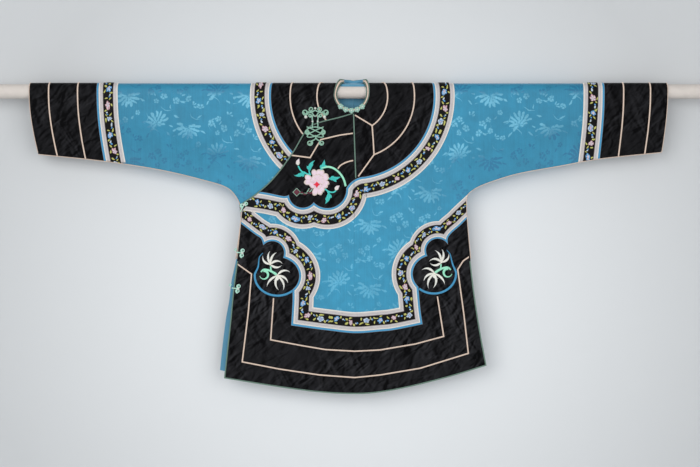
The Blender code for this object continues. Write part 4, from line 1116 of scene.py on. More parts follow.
class Value:
    """A value in a shader tree. Plain sums with it add Math nodes."""

    __add__ = arithmetic("ADD")
    __radd__ = arithmetic("ADD", True)
    __sub__ = arithmetic("SUBTRACT")
    __rsub__ = arithmetic("SUBTRACT", True)
    __mul__ = arithmetic("MULTIPLY")
    __rmul__ = arithmetic("MULTIPLY", True)
    __truediv__ = arithmetic("DIVIDE")

    def __init__(self, graph, socket):
        self.graph = graph
        self.socket = socket

    def __abs__(self):
        return self.graph.math("ABSOLUTE", self)

    def clamped(self):
        """The same value, kept between 0 and 1 by the node that makes it."""
        self.socket.node.use_clamp = True
        return self


class Graph:
    """Short calls that add nodes to one shader tree."""

    def __init__(self, tree):
        self.tree = tree

    def feed(self, socket, value):
        """Links a socket's value, or sets it."""
        if isinstance(value, Value):
            self.tree.links.new(value.socket, socket)
        elif socket.type == "RGBA" and len(value) == 3:
            socket.default_value = (*value, 1.0)
        else:
            socket.default_value = value

    def node(self, kind, feeds, **settings):
        """A node with its settings, and its inputs fed by name."""
        made = self.tree.nodes.new(f"ShaderNode{kind}")
        for key, value in settings.items():
            setattr(made, key, value)
        for name, value in feeds.items():
            self.feed(made.inputs[name], value)
        return made

    def value(self, kind, feeds, output=0, **settings):
        """One output of a new node."""
        return Value(self, self.node(kind, feeds, **settings).outputs[output])

    def math(self, operation, *values):
        """The result of a Math node."""
        return self.value("Math", dict(enumerate(values)), operation=operation)

    def vector(self, operation, *values, output=0):
        """The result of a Vector Math node."""
        return self.value("VectorMath", dict(enumerate(values)), output, operation=operation)

    def most(self, *values, operation="MAXIMUM"):
        """The largest of some values."""
        result = values[0]
        for value in values[1:]:
            result = self.math(operation, result, value)
        return result

    def least(self, *values):
        """The smallest of some values."""
        return self.most(*values, operation="MINIMUM")

    def split(self, place):
        """The two parts of a flat place."""
        return [Value(self, socket) for socket in self.node("SeparateXYZ", {0: place}).outputs[:2]]

    def noise(self, place, scale, detail=2.0, output="Fac", **others):
        """The level of a Noise texture."""
        return self.value("TexNoise", {"Vector": place, "Scale": scale, "Detail": detail, **others}, output)

    def wandered(self, place, source, scale, reach):
        """A place moved about a little, as no weave lies quite even."""
        drift = self.vector("SUBTRACT", self.noise(source, scale, output="Color"), (0.5, 0.5, 0.5))
        return self.vector("MULTIPLY_ADD", drift, reach, place)

    def blend(self, share, low, high, kind="MIX"):
        """The result of a colour Mix node."""
        return self.value("Mix", {0: share, 6: low, 7: high}, 2, data_type="RGBA", blend_type=kind)

    def shaded(self, colour, shade):
        """A colour darkened by a value."""
        grey = self.value("CombineColor", {0: shade, 1: shade, 2: shade})
        return self.blend(1.0, colour, grey, "MULTIPLY")

    def uneven(self, share, colour, dark):
        """A colour that fades to a darker share of itself."""
        return self.blend(share, [value * dark for value in colour], colour)

    def band(self, value, middle, half_width, softness):
        """A soft mask of where a value lies close to a middle."""
        return ((half_width - abs(value - middle)) * (1 / softness) + 0.5).clamped()

    def group(self, name, feeds):
        """The outputs of a placed node group, its inputs fed by name."""
        made = self.tree.nodes.new("ShaderNodeGroup")
        made.node_tree = bpy.data.node_groups[name]
        for key, value in feeds.items():
            self.feed(made.inputs[key], value)
        return {socket.name: Value(self, socket) for socket in made.outputs}

    def weave(self, place, threads):
        """The Weave group at some threads per metre."""
        return self.group("Weave", {"Place": place, "Threads per Metre": threads})

    def motifs(self, place, name, table, softness):
        """A group's masks, one for each row of a table. Turns and sweeps are in degrees there."""
        masks = []
        for row in table:
            feeds = dict(zip(MOTIF_COLUMNS[name], row))
            feeds.update({key: math.radians(feeds[key]) for key in ("Turn", "Half Sweep") if key in feeds})
            masks.append(self.group(name, {"Place": place, "Softness": softness, **feeds})["Mask"])
        return masks

    def put_out(self, **values):
        """Names the outputs of a node group and feeds them."""
        for name in values:
            kind = "Color" if name == "Color" else "Float"
            self.tree.interface.new_socket(name=name, in_out="OUTPUT", socket_type=f"NodeSocket{kind}")
        ends = self.tree.nodes.new("NodeGroupOutput").inputs
        for name, value in values.items():
            self.feed(ends[name], value)


def new_group(name, inputs):
    """The graph of a node group that draws at a place, and its inputs by name."""
    tree = bpy.data.node_groups.new(name, "ShaderNodeTree")
    for socket, default in {"Place": (0, 0, 0), **inputs}.items():
        kind = "Float" if isinstance(default, float) else "Vector" if socket == "Place" else "Color"
        item = tree.interface.new_socket(name=socket, in_out="INPUT", socket_type=f"NodeSocket{kind}")
        item.default_value = (*default, 1.0) if kind == "Color" else default
    graph = Graph(tree)
    return graph, {socket.name: Value(graph, socket) for socket in tree.nodes.new("NodeGroupInput").outputs}


# What the motif groups take, and the columns of the tables that place them
CENTRE = {"Centre X": 0.0, "Centre Y": 0.0, "Turn": 0.0}
MOTIF_SIZES = {
    "Petals": {"Radius": 10.0, "Count": 12.0, "Half Sweep": 3.2, "Fullness": 0.7, "Point": 0.25,
               "Heart": 0.2},
    "Leaf": {"Length": 16.0, "Width": 6.0},
    "Stem": {"Radius": 20.0, "Width": 1.8, "Half Sweep": 1.0},
}
MOTIF_COLUMNS = {name: (*CENTRE, *sizes) for name, sizes in MOTIF_SIZES.items()}


def new_motif(name):
    """A motif's graph and inputs, and the distance and turned angle of a place about its centre."""
    graph, given = new_group(name, {**CENTRE, **MOTIF_SIZES[name], "Softness": 1.2})
    x, y = graph.split(given["Place"])
    across = x - given["Centre X"]
    up = y - given["Centre Y"]
    distance = graph.math("SQRT", across * across + up * up)
    angle = graph.math("ARCTAN2", up, across) - given["Turn"]
    return graph, given, distance, graph.math("WRAP", angle, math.pi, -math.pi)


def make_petal_group():
    """A fan or ring of petals, as a mask. Sizes are in millimetres and angles in radians."""
    graph, given, distance, angle = new_motif("Petals")
    share = distance / given["Radius"]
    across = graph.math("PINGPONG", angle * given["Count"] / (2 * math.pi), 0.5) * 2.0
    side = (given["Fullness"] - across) * (distance * math.pi / given["Count"])
    tip = (1.0 - across * across * given["Point"] - share) * given["Radius"]
    heart = (share - given["Heart"]) * given["Radius"]
    reach = (given["Half Sweep"] - abs(angle)) * distance
    room = graph.least(side, tip, heart, reach)
    graph.put_out(Mask=(room / given["Softness"] + 0.5).clamped())


def make_leaf_group():
    """A pointed leaf, as a mask."""
    graph, given, distance, angle = new_motif("Leaf")
    along = distance * graph.math("COSINE", angle) / (given["Length"] * 0.5)
    across = abs(distance * graph.math("SINE", angle))
    room = (1.0 - along * along) * (given["Width"] * 0.5) - across
    graph.put_out(Mask=(room / given["Softness"] + 0.5).clamped())


def make_stem_group():
    """A curled stem or reed leaf on a round line, thinner at both ends, as a mask."""
    graph, given, distance, angle = new_motif("Stem")
    share = angle / given["Half Sweep"]
    half = (1.0 - share * share) * given["Width"] * 0.5
    room = half - abs(distance - given["Radius"])
    graph.put_out(Mask=(room / given["Softness"] + 0.5).clamped())


# The damask's repeat in millimetres, how far its weave wanders, and what is woven in it. Flowers
# are given as place, turn, radius, petals, half sweep, fullness, point and heart; leaves as
# place, turn, length and width; stems as place, turn, radius, width and half sweep.
DAMASK_REPEAT = (142.0, 150.0)
DAMASK_WANDER = (10.0, 10.0, 0.0)
BLOSSOM = (5, 190, 0.74, 0.2, 0.25)
DAMASK_FLOWERS = (
    (-34, -36, 96, 29, 14, 112, 0.62, 0.55, 0.5), (-34, -34, 84, 19, 10, 128, 0.66, 0.5, 0.34),
    (-34, -33, 70, 10, 6, 160, 0.7, 0.4, 0.15),
    (36, 28, 236, 28, 14, 118, 0.62, 0.55, 0.5), (35, 30, 250, 18, 10, 130, 0.66, 0.5, 0.34),
    (34, 31, 262, 9.5, 6, 160, 0.7, 0.4, 0.15),
    (20, -46, 10, 8, *BLOSSOM), (36, -56, 40, 7, *BLOSSOM), (50, -34, 20, 8, *BLOSSOM),
    (34, -24, 60, 6, *BLOSSOM), (-54, 30, 0, 8, *BLOSSOM), (-34, 46, 30, 7, *BLOSSOM),
    (-62, 52, 60, 7, *BLOSSOM), (-40, 22, 50, 6, *BLOSSOM), (-6, 64, 20, 7, *BLOSSOM),
    (-12, 4, 0, 6, *BLOSSOM),
    (62, -62, 300, 12, 7, 80, 0.5, 0.8, 0.3), (-24, 64, 330, 11, 7, 70, 0.5, 0.8, 0.3),
)
DAMASK_LEAVES = (
    (-68, -30, 150, 15, 4.2), (0, -26, 30, 14, 4.2), (-62, -62, 200, 14, 4), (-8, -60, -30, 14, 4),
    (2, 26, 160, 13, 4.2), (68, 36, 20, 13, 4.2), (60, 54, 50, 14, 4), (12, 56, 130, 15, 4),
    (28, -40, 60, 11, 4), (42, -46, 320, 10, 4), (-46, 38, 120, 11, 4), (-48, 54, 20, 12, 4),
    (-22, 16, 310, 11, 3.6), (66, -10, 80, 12, 3.6),
)
DAMASK_STEMS = (
    (-12, -72, 120, 18, 1.6, 50), (22, 60, 300, 18, 1.6, 50), (30, -40, 230, 16, 1.3, 80),
    (-48, 38, 60, 15, 1.3, 90), (-8, 14, 20, 20, 1.6, 42), (64, -24, 110, 24, 1.8, 36),
    (-62, 2, 230, 20, 1.8, 40),
)


def make_damask_group():
    """The damask's woven flowers, as a mask over pattern coordinates in metres."""
    graph, given = new_group("Damask", {})
    place = given["Place"]
    width, height = DAMASK_REPEAT
    x, y = graph.split(place)
    across = x / (width * MM)
    half_drop = graph.math("MODULO", graph.math("FLOOR", across), 2.0) * 0.5
    up = y / (height * MM) + half_drop
    cell = graph.value("CombineXYZ", {0: (graph.math("FRACT", across) - 0.5) * width,
                                      1: (graph.math("FRACT", up) - 0.5) * height})
    cell = graph.wandered(cell, place, 70.0, DAMASK_WANDER)
    masks = graph.motifs(cell, "Petals", DAMASK_FLOWERS, 1.8)
    masks += graph.motifs(cell, "Leaf", DAMASK_LEAVES, 1.2)
    masks += graph.motifs(cell, "Stem", DAMASK_STEMS, 1.2)
    thin = graph.vector("MULTIPLY", place, (420, 9, 1))
    graph.put_out(Mask=graph.most(*masks), Streaks=graph.noise(thin, 1.0, 3.0),
                  Blotches=graph.noise(place, 14.0, 5.0, Roughness=0.7))


def make_weave_group():
    """Fine crossing threads, as a height, with slow unevenness."""
    graph, given = new_group("Weave", {"Threads per Metre": 1400.0})
    warp, weft = [graph.math("SINE", part * given["Threads per Metre"] * math.pi)
                  for part in graph.split(given["Place"])]
    graph.put_out(Height=warp * weft + 0.5, Unevenness=graph.noise(given["Place"], 60.0, 4.0))


def make_wrinkle_group():
    """Soft irregular wrinkles of a thin satin, as a height, and where they catch the light: their slope in
    one direction, for painted highlights on one side and painted shade on the other.
    """
    graph, given = new_group("Wrinkles", {"Scale": 26.0, "Turn": 0.65})
    heights = []
    for shift in ((0, 0, 0), (0.0036, 0.0016, 0)):
        moved = graph.vector("ADD", given["Place"], shift)
        turned = graph.value("VectorRotate", {"Vector": moved, "Angle": given["Turn"]},
                             rotation_type="Z_AXIS")
        stretched = graph.vector("MULTIPLY", turned, (1.0, 0.42, 1.0))
        heights.append(graph.noise(stretched, given["Scale"], Distortion=0.6))
    graph.put_out(Height=heights[0], Glints=(heights[1] - heights[0]) * 6.5)


# The ribbon's repeat in millimetres, how far its weave wanders in metres, and one flower's parts
# with the columns of the damask's tables
RIBBON_REPEAT = 35.0
RIBBON_WANDER = (0.030, 0.010, 0.0)
RIBBON_FLOWERS = (
    (0, 1.4, 22.918, 6.5, 5, 183.346, 0.86, 0.25, 0.2),
    (0, 1.4, 22.918, 4.2, 5, 183.346, 0.6, 0.25, 0.2),
)
RIBBON_ROUNDS = ((0, 1.4, 0, 3.4, 3.4), (-15.6, -3.4, 0, 4.2, 4.2), (14.6, 4.4, 0, 4.2, 4.2))
RIBBON_LEAVES = ((9.6, 7.2, 60, 8.4, 3.8), (-9.6, -5.8, 215, 8.4, 3.8), (-12.0, 4.4, 120, 8.4, 3.8),
                 (2.0, -8.4, -20, 8.4, 3.8))


def make_ribbon_group():
    """The ribbon's woven flowers: a colour over distance along and across, in metres."""
    graph, given = new_group("Ribbon", {"Ground": (0.01, 0.01, 0.02), "Blue": (0.2, 0.5, 0.8),
                                        "Pink": (0.8, 0.2, 0.3), "White": (0.8, 0.85, 0.9),
                                        "Green": (0.4, 0.5, 0.2)})
    x, y = graph.split(graph.wandered(given["Place"], given["Place"], 42.0, RIBBON_WANDER))
    along = x / (RIBBON_REPEAT * MM)
    number = graph.math("FLOOR", along)
    flip = 1.0 - graph.math("PINGPONG", number, 1.0) * 2.0
    place = graph.value("CombineXYZ", {0: (graph.math("FRACT", along) - 0.5) * RIBBON_REPEAT,
                                       1: (y / MM - (RIBBON[0] + RIBBON[1]) / 2) * flip})
    kind = graph.math("WRAP", number, 3.0, 0.0)
    pink = graph.math("COMPARE", kind, 1.0, 0.1)
    pale = graph.math("COMPARE", kind, 2.0, 0.1)
    petals, inner = graph.motifs(place, "Petals", RIBBON_FLOWERS, 1.2)
    heart, blue_dot, white_dot = graph.motifs(place, "Leaf", RIBBON_ROUNDS, 1.0)
    green = graph.most(*graph.motifs(place, "Leaf", RIBBON_LEAVES, 1.0))
    petal_colour = graph.blend(pink, given["Blue"], given["Pink"])
    petal_colour = graph.blend(pale, petal_colour, given["White"])
    inner_colour = graph.blend(pale, given["White"], given["Blue"])
    colour = given["Ground"]
    for mask, silk in ((green, given["Green"]), (blue_dot, given["Blue"]), (white_dot, given["White"]),
                       (petals, petal_colour), (inner, inner_colour), (heart, given["Pink"])):
        colour = graph.blend(mask, colour, silk)
    graph.put_out(Color=colour, Height=graph.most(petals, green))


# Lines woven and stitched along the white tape: distance from the satin, half width, and how
# many millimetres a stitch takes, 0 for an unbroken line
TAPE_LINES = ((8.4, 0.2, 0.0), (11.2, 0.45, 2.6), (15.3, 0.7, 0.0), (39.5, 0.6, 0.0), (43.8, 0.45, 2.6),
              (46.6, 0.2, 0.0))
TAPE_EDGES = ((6.6, 1.4), (48.6, 1.5))


def make_tape_group():
    """Fine lines and small stitches along the white tape, and its paler edges, as masks."""
    graph, given = new_group("Tape Lines", {})
    along, across = [part / MM for part in graph.split(given["Place"])]
    masks = []
    for distance, half_width, stitch in TAPE_LINES:
        mask = graph.band(across, distance, half_width, 0.6)
        if stitch:
            mask = mask * graph.band(graph.math("FRACT", along / stitch), 0.5, 0.3, 0.1)
        masks.append(mask)
    edges = [graph.band(across, distance, half_width, 0.5) for distance, half_width in TAPE_EDGES]
    graph.put_out(Mask=graph.most(*masks), Edges=graph.most(*edges))


def make_twist_group():
    """The lay of a twisted cord's strands, as a height over its length and its girth."""
    graph, given = new_group("Twist", {"Strands per Metre": 420.0})
    along, round_it = graph.split(given["Place"])
    turn = (along + round_it * 0.8) * given["Strands per Metre"] * math.pi
    graph.put_out(Height=abs(graph.math("SINE", turn)))


class Finish(Graph):
    """The graph of a material round its one shader, and the coordinates that it reads."""

    def __init__(self, name, roughness, constants=(), coordinates="pattern"):
        self.material = bpy.data.materials.new(name)
        self.material.use_nodes = True
        super().__init__(self.material.node_tree)
        self.shader = self.tree.nodes["Principled BSDF"]
        for key, value in (("Roughness", roughness), *constants):
            self.shader.inputs[key].default_value = value
        if coordinates == "pattern":
            self.place = self.value("UVMap", {}, uv_map="pattern")
        else:
            self.place = self.value("TexCoord", {}, "Object")

    def cover(self, colour, height, depth, strength, roughness=None):
        """Feeds the shader's colour, its normal from a height over a depth in millimetres, and gloss."""
        bump = self.value("Bump", {"Height": height, "Distance": depth * MM, "Strength": strength})
        self.feed(self.shader.inputs["Base Color"], colour)
        self.feed(self.shader.inputs["Normal"], bump)
        if roughness is not None:
            self.feed(self.shader.inputs["Roughness"], roughness)
        return self.material


# Where painted shade darkens the damask's flowers, as their sheen flips: in a band along the ridge, and in
# one that runs down from the low sleeves, each as middle, half width and softness in metres
DARK_RIDGE = (0.0, 0.034, 0.012)
DARK_SLEEVE = (0.46, 0.14, 0.03)
DARK_REACH = (0.45, 0.24, 0.05)


def make_damask(colours):
    """Blue silk damask: tone on tone flowers, painted shade on them along the ridge and the low sleeves and
    on the silk towards the sleeves, faint streaks of the silk and a fine weave.
    """
    silk = Finish("blue damask", 0.5, (("Sheen Weight", 0.06), ("Sheen Roughness", 0.4),
                                       ("Specular IOR Level", 0.3)))
    pattern = silk.group("Damask", {"Place": silk.place})
    weave = silk.weave(silk.place, 1500.0)
    x, s = silk.split(silk.place)
    # Painted shade: the flowers take their shaded colour along the ridge and in a band down the low sleeves
    low = abs(x) * 0.30 + abs(s) + pattern["Blotches"] * 0.12
    low = silk.band(low, *DARK_SLEEVE) * silk.band(abs(x), *DARK_REACH)
    dark = silk.most(low, silk.band(s, *DARK_RIDGE))
    flower = silk.blend(dark, colours.damask_flower, colours.damask_shade)
    # The flowers fade in patches and down the front towards the hem
    figure_shows = (pattern["Blotches"] * 2.6 - 0.45).clamped() * (1.22 - s * 1.5).clamped()
    colour = silk.blend(pattern["Mask"] * figure_shows, colours.damask, flower)
    shade = (pattern["Streaks"] * 0.30 + 0.85) * (weave["Unevenness"] * 0.24 + 0.88)
    # Random streaks, unevenness and blotches, and painted shade that darkens the silk towards the sleeves
    shade = shade * ((pattern["Blotches"] * 0.5 + 0.75) * (1.10 - abs(x) * 0.42))
    return silk.cover(silk.shaded(colour, shade), weave["Height"] * 0.25 + pattern["Mask"], 0.12, 0.6,
                      0.52 - pattern["Mask"] * 0.12)


def make_lining(colours):
    """The plain blue cloth's inside."""
    silk = Finish("blue lining", 0.6, (("Sheen Weight", 0.15),))
    streaks = silk.group("Damask", {"Place": silk.place})["Streaks"]
    height = silk.weave(silk.place, 1500.0)["Height"]
    return silk.cover(silk.blend(streaks, colours.lining, colours.damask), height, 0.05, 0.5)


# The mitre seams of the border satin, from the trim's corners to the hem's, with their half width
# and softness and those of their length in metres
MITRES = (((-149, 553), (-307, 676)), ((162, 551), (312, 646)))
MITRE_WIDTH = (0.0006, 0.0012)
MITRE_LENGTH = (0.1, 0.002)


def mitre_seam(silk, side, start, end):
    """A mask of one mitre seam on the front, side 1, or on the back, side -1."""
    first, last = [Vector((x, side * (QUARTER + depth), 0)) for x, depth in (start, end)]
    run = (last - first).normalized()
    across = Vector((-run.y, run.x, 0))
    along = silk.vector("DOT_PRODUCT", silk.place, tuple(run), output="Value")
    beside = silk.vector("DOT_PRODUCT", silk.place, tuple(across), output="Value")
    return (silk.band(beside, first.dot(across) * MM, *MITRE_WIDTH)
            * silk.band(along, (first.dot(run) + 100) * MM, *MITRE_LENGTH))


def make_satin(name, colours, creased, rest, mitres=()):
    """Black satin with soft wrinkles, painted highlights and painted shade on their slopes, and the mitre
    seams of the borders.
    """
    silk = Finish(name, 0.44, (("Specular IOR Level", 0.03),))
    weave = silk.weave(silk.place, 1800.0)
    coarse = silk.group("Wrinkles", {"Place": silk.place, "Scale": 22.0})
    fine = silk.group("Wrinkles", {"Place": silk.place, "Scale": 60.0, "Turn": -0.75})
    slow = (silk.noise(silk.place, 7.0) * (3.2 * creased) - 0.9 * creased).clamped()
    # Painted highlights and painted shade: the wrinkles' slope moves the colour from a rest level towards the
    # glint colour on one side and towards black on the other
    glints = ((fine["Glints"] * 0.45 + coarse["Glints"]) * slow + rest).clamped()
    for start, end in mitres:
        for side in (1, -1):
            glints = (glints - mitre_seam(silk, side, start, end) * (0.6 * rest)).clamped()
    base = silk.blend(weave["Unevenness"], colours.satin, [value * 1.3 for value in colours.satin])
    height = weave["Height"] * 0.008 + (fine["Height"] * 0.22 + coarse["Height"])
    return silk.cover(silk.blend(glints, base, colours.satin_glint), height, 9.0, 1.0,
                      fine["Height"] * 0.16 + 0.36)


def make_tape(colours):
    """White silk tape with fine lines and stitches."""
    silk = Finish("white tape", 0.6, (("Sheen Weight", 0.15),))
    woven = silk.group("Tape Lines", {"Place": silk.place})
    weave = silk.weave(silk.place, 1300.0)
    colour = silk.uneven(weave["Unevenness"], colours.tape, 0.86)
    colour = silk.blend(woven["Edges"] * 0.8, colour, colours.tape_edge)
    colour = silk.blend(woven["Mask"] * 0.85, colour, colours.tape_line)
    return silk.cover(colour, weave["Height"] * 0.3 + (1.0 - woven["Mask"]), 0.25, 0.8)


def make_ribbon(colours):
    """Black woven ribbon with small many-coloured flowers, and painted shade in the hollows of its weave."""
    silk = Finish("floral ribbon", 0.55, (("Specular IOR Level", 0.12),))
    woven = silk.group("Ribbon", {"Place": silk.place, "Ground": colours.satin, "Blue": colours.floret_blue,
                                  "Pink": colours.floret_pink, "White": colours.floret_white,
                                  "Green": colours.floret_leaf})
    height = silk.weave(silk.place, 1100.0)["Height"]
    # Painted shade: the colour darkens in the hollows of the weave
    return silk.cover(silk.shaded(woven["Color"], height * 0.35 + 0.75), height * 0.4 + woven["Height"], 0.25,
                      0.9)


def make_edging(colours):
    """Light blue edging with a fine brown line next to the satin."""
    silk = Finish("blue edging", 0.5, (("Sheen Weight", 0.2),))
    weave = silk.weave(silk.place, 900.0)
    line = silk.band(silk.split(silk.place)[1] / MM, 0.0, 0.8, 0.5)
    ground = silk.uneven(weave["Unevenness"], colours.edging, 0.75)
    return silk.cover(silk.blend(line, ground, colours.edging_line), weave["Height"], 0.15, 0.7)


def make_plain(name, colour, bump=0.15):
    """A plain woven binding, piping or applique silk."""
    silk = Finish(name, 0.6, (("Sheen Weight", 0.2),))
    weave = silk.weave(silk.place, 900.0)
    return silk.cover(silk.uneven(weave["Unevenness"], colour, 0.7), weave["Height"], bump, 0.7)


def make_cord(name, colour):
    """Twisted silk cord, with painted shade in the grooves between its strands."""
    silk = Finish(name, 0.5, (("Sheen Weight", 0.2),))
    twist = silk.group("Twist", {"Place": silk.place})["Height"]
    # Painted shade: the colour darkens in the grooves between the strands
    return silk.cover(silk.uneven(twist, colour, 0.55), twist, 0.4, 0.8)


def make_petal_silk(name, root, tip, vein=0.25, rim=None):
    """Satin stitch that runs from root to tip, with fine threads along it, painted shade between them, and a
    paler rim.
    """
    silk = Finish(name, 0.5, (("Sheen Weight", 0.25),))
    along, across = silk.split(silk.place)
    threads = silk.math("SINE", across * 60.0)
    middle = silk.band(across, 0.0, 0.07, 0.1)
    colour = silk.blend(middle * vein, silk.blend(along, root, tip), [value * 0.5 for value in root])
    if rim:
        outline = silk.most(silk.band(abs(across), 1.0, 0.28, 0.1), silk.band(along, 1.0, 0.16, 0.06))
        colour = silk.blend(outline, colour, rim)
    # Painted shade: the colour darkens between the fine threads
    return silk.cover(silk.shaded(colour, threads * 0.10 + 0.90), threads, 0.15, 0.6)


def make_rod_cover(colours):
    """Cream cotton wound tight round the rod."""
    cotton = Finish("rod cover", 0.8, coordinates="object")
    weave = cotton.weave(cotton.place, 900.0)
    coarse = cotton.group("Wrinkles", {"Place": cotton.place, "Scale": 30.0})["Height"]
    return cotton.cover(cotton.uneven(weave["Unevenness"], colours.rod, 0.85), coarse * 6.0 + weave["Height"],
                        0.25, 0.7)


# Plain silks: their key, name and colour
PLAIN_SILKS = (
    ("piping", "cream piping", "piping"), ("binding", "mint binding", "binding"),
    ("ring", "blue ring strip", "edging"), ("neck groove shade", "dark green line", "neck_groove_shade"),
    ("peony heart", "red silk heart", "heart"), ("dark bud", "dark red silk", "dark_bud"),
    ("teal stem", "teal stem silk", "leaf_tip"), ("grey stem", "grey stem silk", "chest_cord"),
    ("scroll", "mint scroll silk", "scroll"),
)


def make_materials():
    """All the finishes, made once."""
    for make in (make_petal_group, make_leaf_group, make_stem_group, make_damask_group, make_weave_group,
                 make_wrinkle_group, make_ribbon_group, make_tape_group, make_twist_group):
        make()
    colours = bpy.context.scene.jacket_colours
    for key, name, colour in PLAIN_SILKS:
        MATERIALS[key] = make_plain(name, getattr(colours, colour))
    MATERIALS.update({
        "damask": make_damask(colours),
        "lining": make_lining(colours),
        "satin": make_satin("black satin", colours, 0.62, 0.17),
        "border satin": make_satin("black border satin", colours, 0.85, 0.27, MITRES),
        "tape": make_tape(colours),
        "ribbon": make_ribbon(colours),
        "edging": make_edging(colours),
        "cord": make_cord("mint cord", colours.cord),
        "chest cord": make_cord("grey green cord", colours.chest_cord),
        "bead": make_plain("pale silk knot", colours.bead, 0.05),
        "pink bead": make_plain("pink silk dot", colours.floret_pink, 0.05),
        "peony": make_petal_silk("peony silk", colours.peony_root, colours.peony_tip, 0.0, colours.peony_rim),
        "leaf": make_petal_silk("teal leaf silk", colours.leaf, colours.leaf_tip, 0.9),
        "bud": make_petal_silk("pink bud silk", colours.petal_root, colours.peony_tip),
        "chrysanthemum": make_petal_silk("white petal silk", colours.petal_root, colours.petal_tip, 0.0),
        "rod": make_rod_cover(colours),
    })


def tint(name, description, default):
    """A colour that a user would change."""
    return FloatVectorProperty(name=name, description=description, default=default, subtype="COLOR", size=3,
                               min=0, max=1)


class JacketColours(bpy.types.PropertyGroup):
    """Colours of the jacket's silks."""

    damask: tint("Damask", "Ground of the silk damask", (0.026, 0.232, 0.380))
    damask_flower: tint("Damask flowers", "Woven flowers of the damask", (0.135, 0.435, 0.600))
    # Painted shade of the woven flowers along the ridge and the low sleeves
    damask_shade: tint("Damask shade", "Woven flowers where the silk turns away", (0.016, 0.160, 0.298))
    lining: tint("Lining", "Inside of the cloth", (0.13, 0.33, 0.47))
    satin: tint("Satin", "Black satin of yoke, lapel, border and cuffs", (0.0016, 0.0016, 0.0020))
    # Colour of the painted highlights on the satin's wrinkles
    satin_glint: tint("Satin glints", "Where the satin's wrinkles catch the light", (0.034, 0.034, 0.038))
    tape: tint("Tape", "White tape beside the ribbon", (0.555, 0.525, 0.53))
    tape_edge: tint("Tape edge", "Cream edges of the white tape", (0.74, 0.70, 0.625))
    tape_line: tint("Tape lines", "Fine lines on the white tape", (0.20, 0.17, 0.16))
    edging: tint("Edging", "Blue edging next to the satin", (0.035, 0.288, 0.528))
    edging_line: tint("Edging line", "Brown line of the edging", (0.16, 0.10, 0.07))
    piping: tint("Piping", "Cream pink piping on the satin", (0.80, 0.62, 0.50))
    binding: tint("Binding", "Mint binding of the edges", (0.13, 0.23, 0.175))
    # Painted shade in the neckband's grooves between binding and piping
    neck_groove_shade: tint("Neck groove shade", "Dark green line of the neck", (0.02, 0.07, 0.05))
    cord: tint("Cord", "Mint cord of the frogs", (0.50, 0.84, 0.70))
    chest_cord: tint("Chest cord", "Grey green cord of the chest frog", (0.32, 0.58, 0.44))
    bead: tint("Knots", "Pale knots of the frogs", (0.75, 0.78, 0.72))
    floret_blue: tint("Blue florets", "Blue flowers of the ribbon", (0.12, 0.34, 0.66))
    floret_pink: tint("Pink florets", "Pink flowers of the ribbon", (0.68, 0.42, 0.46))
    floret_white: tint("White florets", "White flowers of the ribbon", (0.56, 0.64, 0.72))
    floret_leaf: tint("Ribbon leaves", "Leaves of the ribbon", (0.50, 0.49, 0.14))
    peony_root: tint("Peony root", "Peony petals near the heart", (0.88, 0.64, 0.74))
    peony_tip: tint("Peony tip", "Edges of the peony petals", (0.90, 0.74, 0.84))
    peony_rim: tint("Peony rim", "Cream outlines of the peony petals", (0.82, 0.69, 0.61))
    heart: tint("Heart", "Red heart of the peony", (0.86, 0.001, 0.035))
    leaf: tint("Leaf root", "Teal leaves near the stem", (0.02, 0.58, 0.52))
    leaf_tip: tint("Leaf tip", "Tips of the teal leaves", (0.05, 0.66, 0.60))
    dark_bud: tint("Dark bud", "Dark red bud beside the peony", (0.11, 0.001, 0.02))
    petal_root: tint("Petal root", "Chrysanthemum petals near the heart", (0.92, 0.90, 0.80))
    petal_tip: tint("Petal tip", "Tips of the chrysanthemum petals", (0.94, 0.95, 0.90))
    scroll: tint("Scroll", "Mint scrolls beside the chrysanthemums", (0.36, 0.88, 0.62))
    rod: tint("Rod", "Cotton cover of the rod", (0.665, 0.61, 0.565))


class JacketSizes(bpy.types.PropertyGroup):
    """Fineness of the jacket's meshes and size of its sewn lines."""

    cloth_step: FloatProperty(name="Cloth step", description="Spacing of the damask's mesh",
                              default=CLOTH_STEP * MM, unit="LENGTH")
    satin_step: FloatProperty(name="Satin step", description="Spacing of the satin's mesh",
                              default=SATIN_STEP * MM, unit="LENGTH")
    piping_width: FloatProperty(name="Piping width", description="Width of the cream piping",
                                default=PIPING_WIDTH * MM, unit="LENGTH")
    binding_width: FloatProperty(name="Binding width", description="Width of the lapel's mint binding",
                                 default=BINDING_WIDTH * MM, unit="LENGTH")
    cord_radius: FloatProperty(name="Cord radius", description="Radius of the frogs' cord",
                               default=1.5 * MM, unit="LENGTH")
    rod_sides: IntProperty(name="Rod sides", description="Sides of the covered rod", default=64)


class StageSettings(bpy.types.PropertyGroup):
    """The wall, the floor and the light round the jacket."""

    wall: tint("Wall", "Wall behind the jacket", (0.736, 0.758, 0.774))
    floor: tint("Floor", "Floor below the jacket", (0.82, 0.83, 0.84))
    wall_distance: FloatProperty(name="Wall distance", description="From the rod's axis to the wall",
                                 default=0.05, unit="LENGTH")
    key_power: FloatProperty(name="Key power", description="Power of the large soft light", default=80.0)
    fill_power: FloatProperty(name="Fill power", description="Power of the fill light", default=55.0)
    camera_distance: FloatProperty(name="Camera distance", description="From the rod's axis to the camera",
                                   default=3.9, unit="LENGTH")
    view_width: FloatProperty(name="View width", description="Width of the view at the rod",
                              default=1.652, unit="LENGTH")


def size(name):
    """One of the jacket's sizes, in millimetres."""
    return getattr(bpy.context.scene.jacket_sizes, name) / MM


def trim_margin():
    """What trims and piping leave free beside a bound edge."""
    return size("binding_width") / 2 + PIECE_GAP


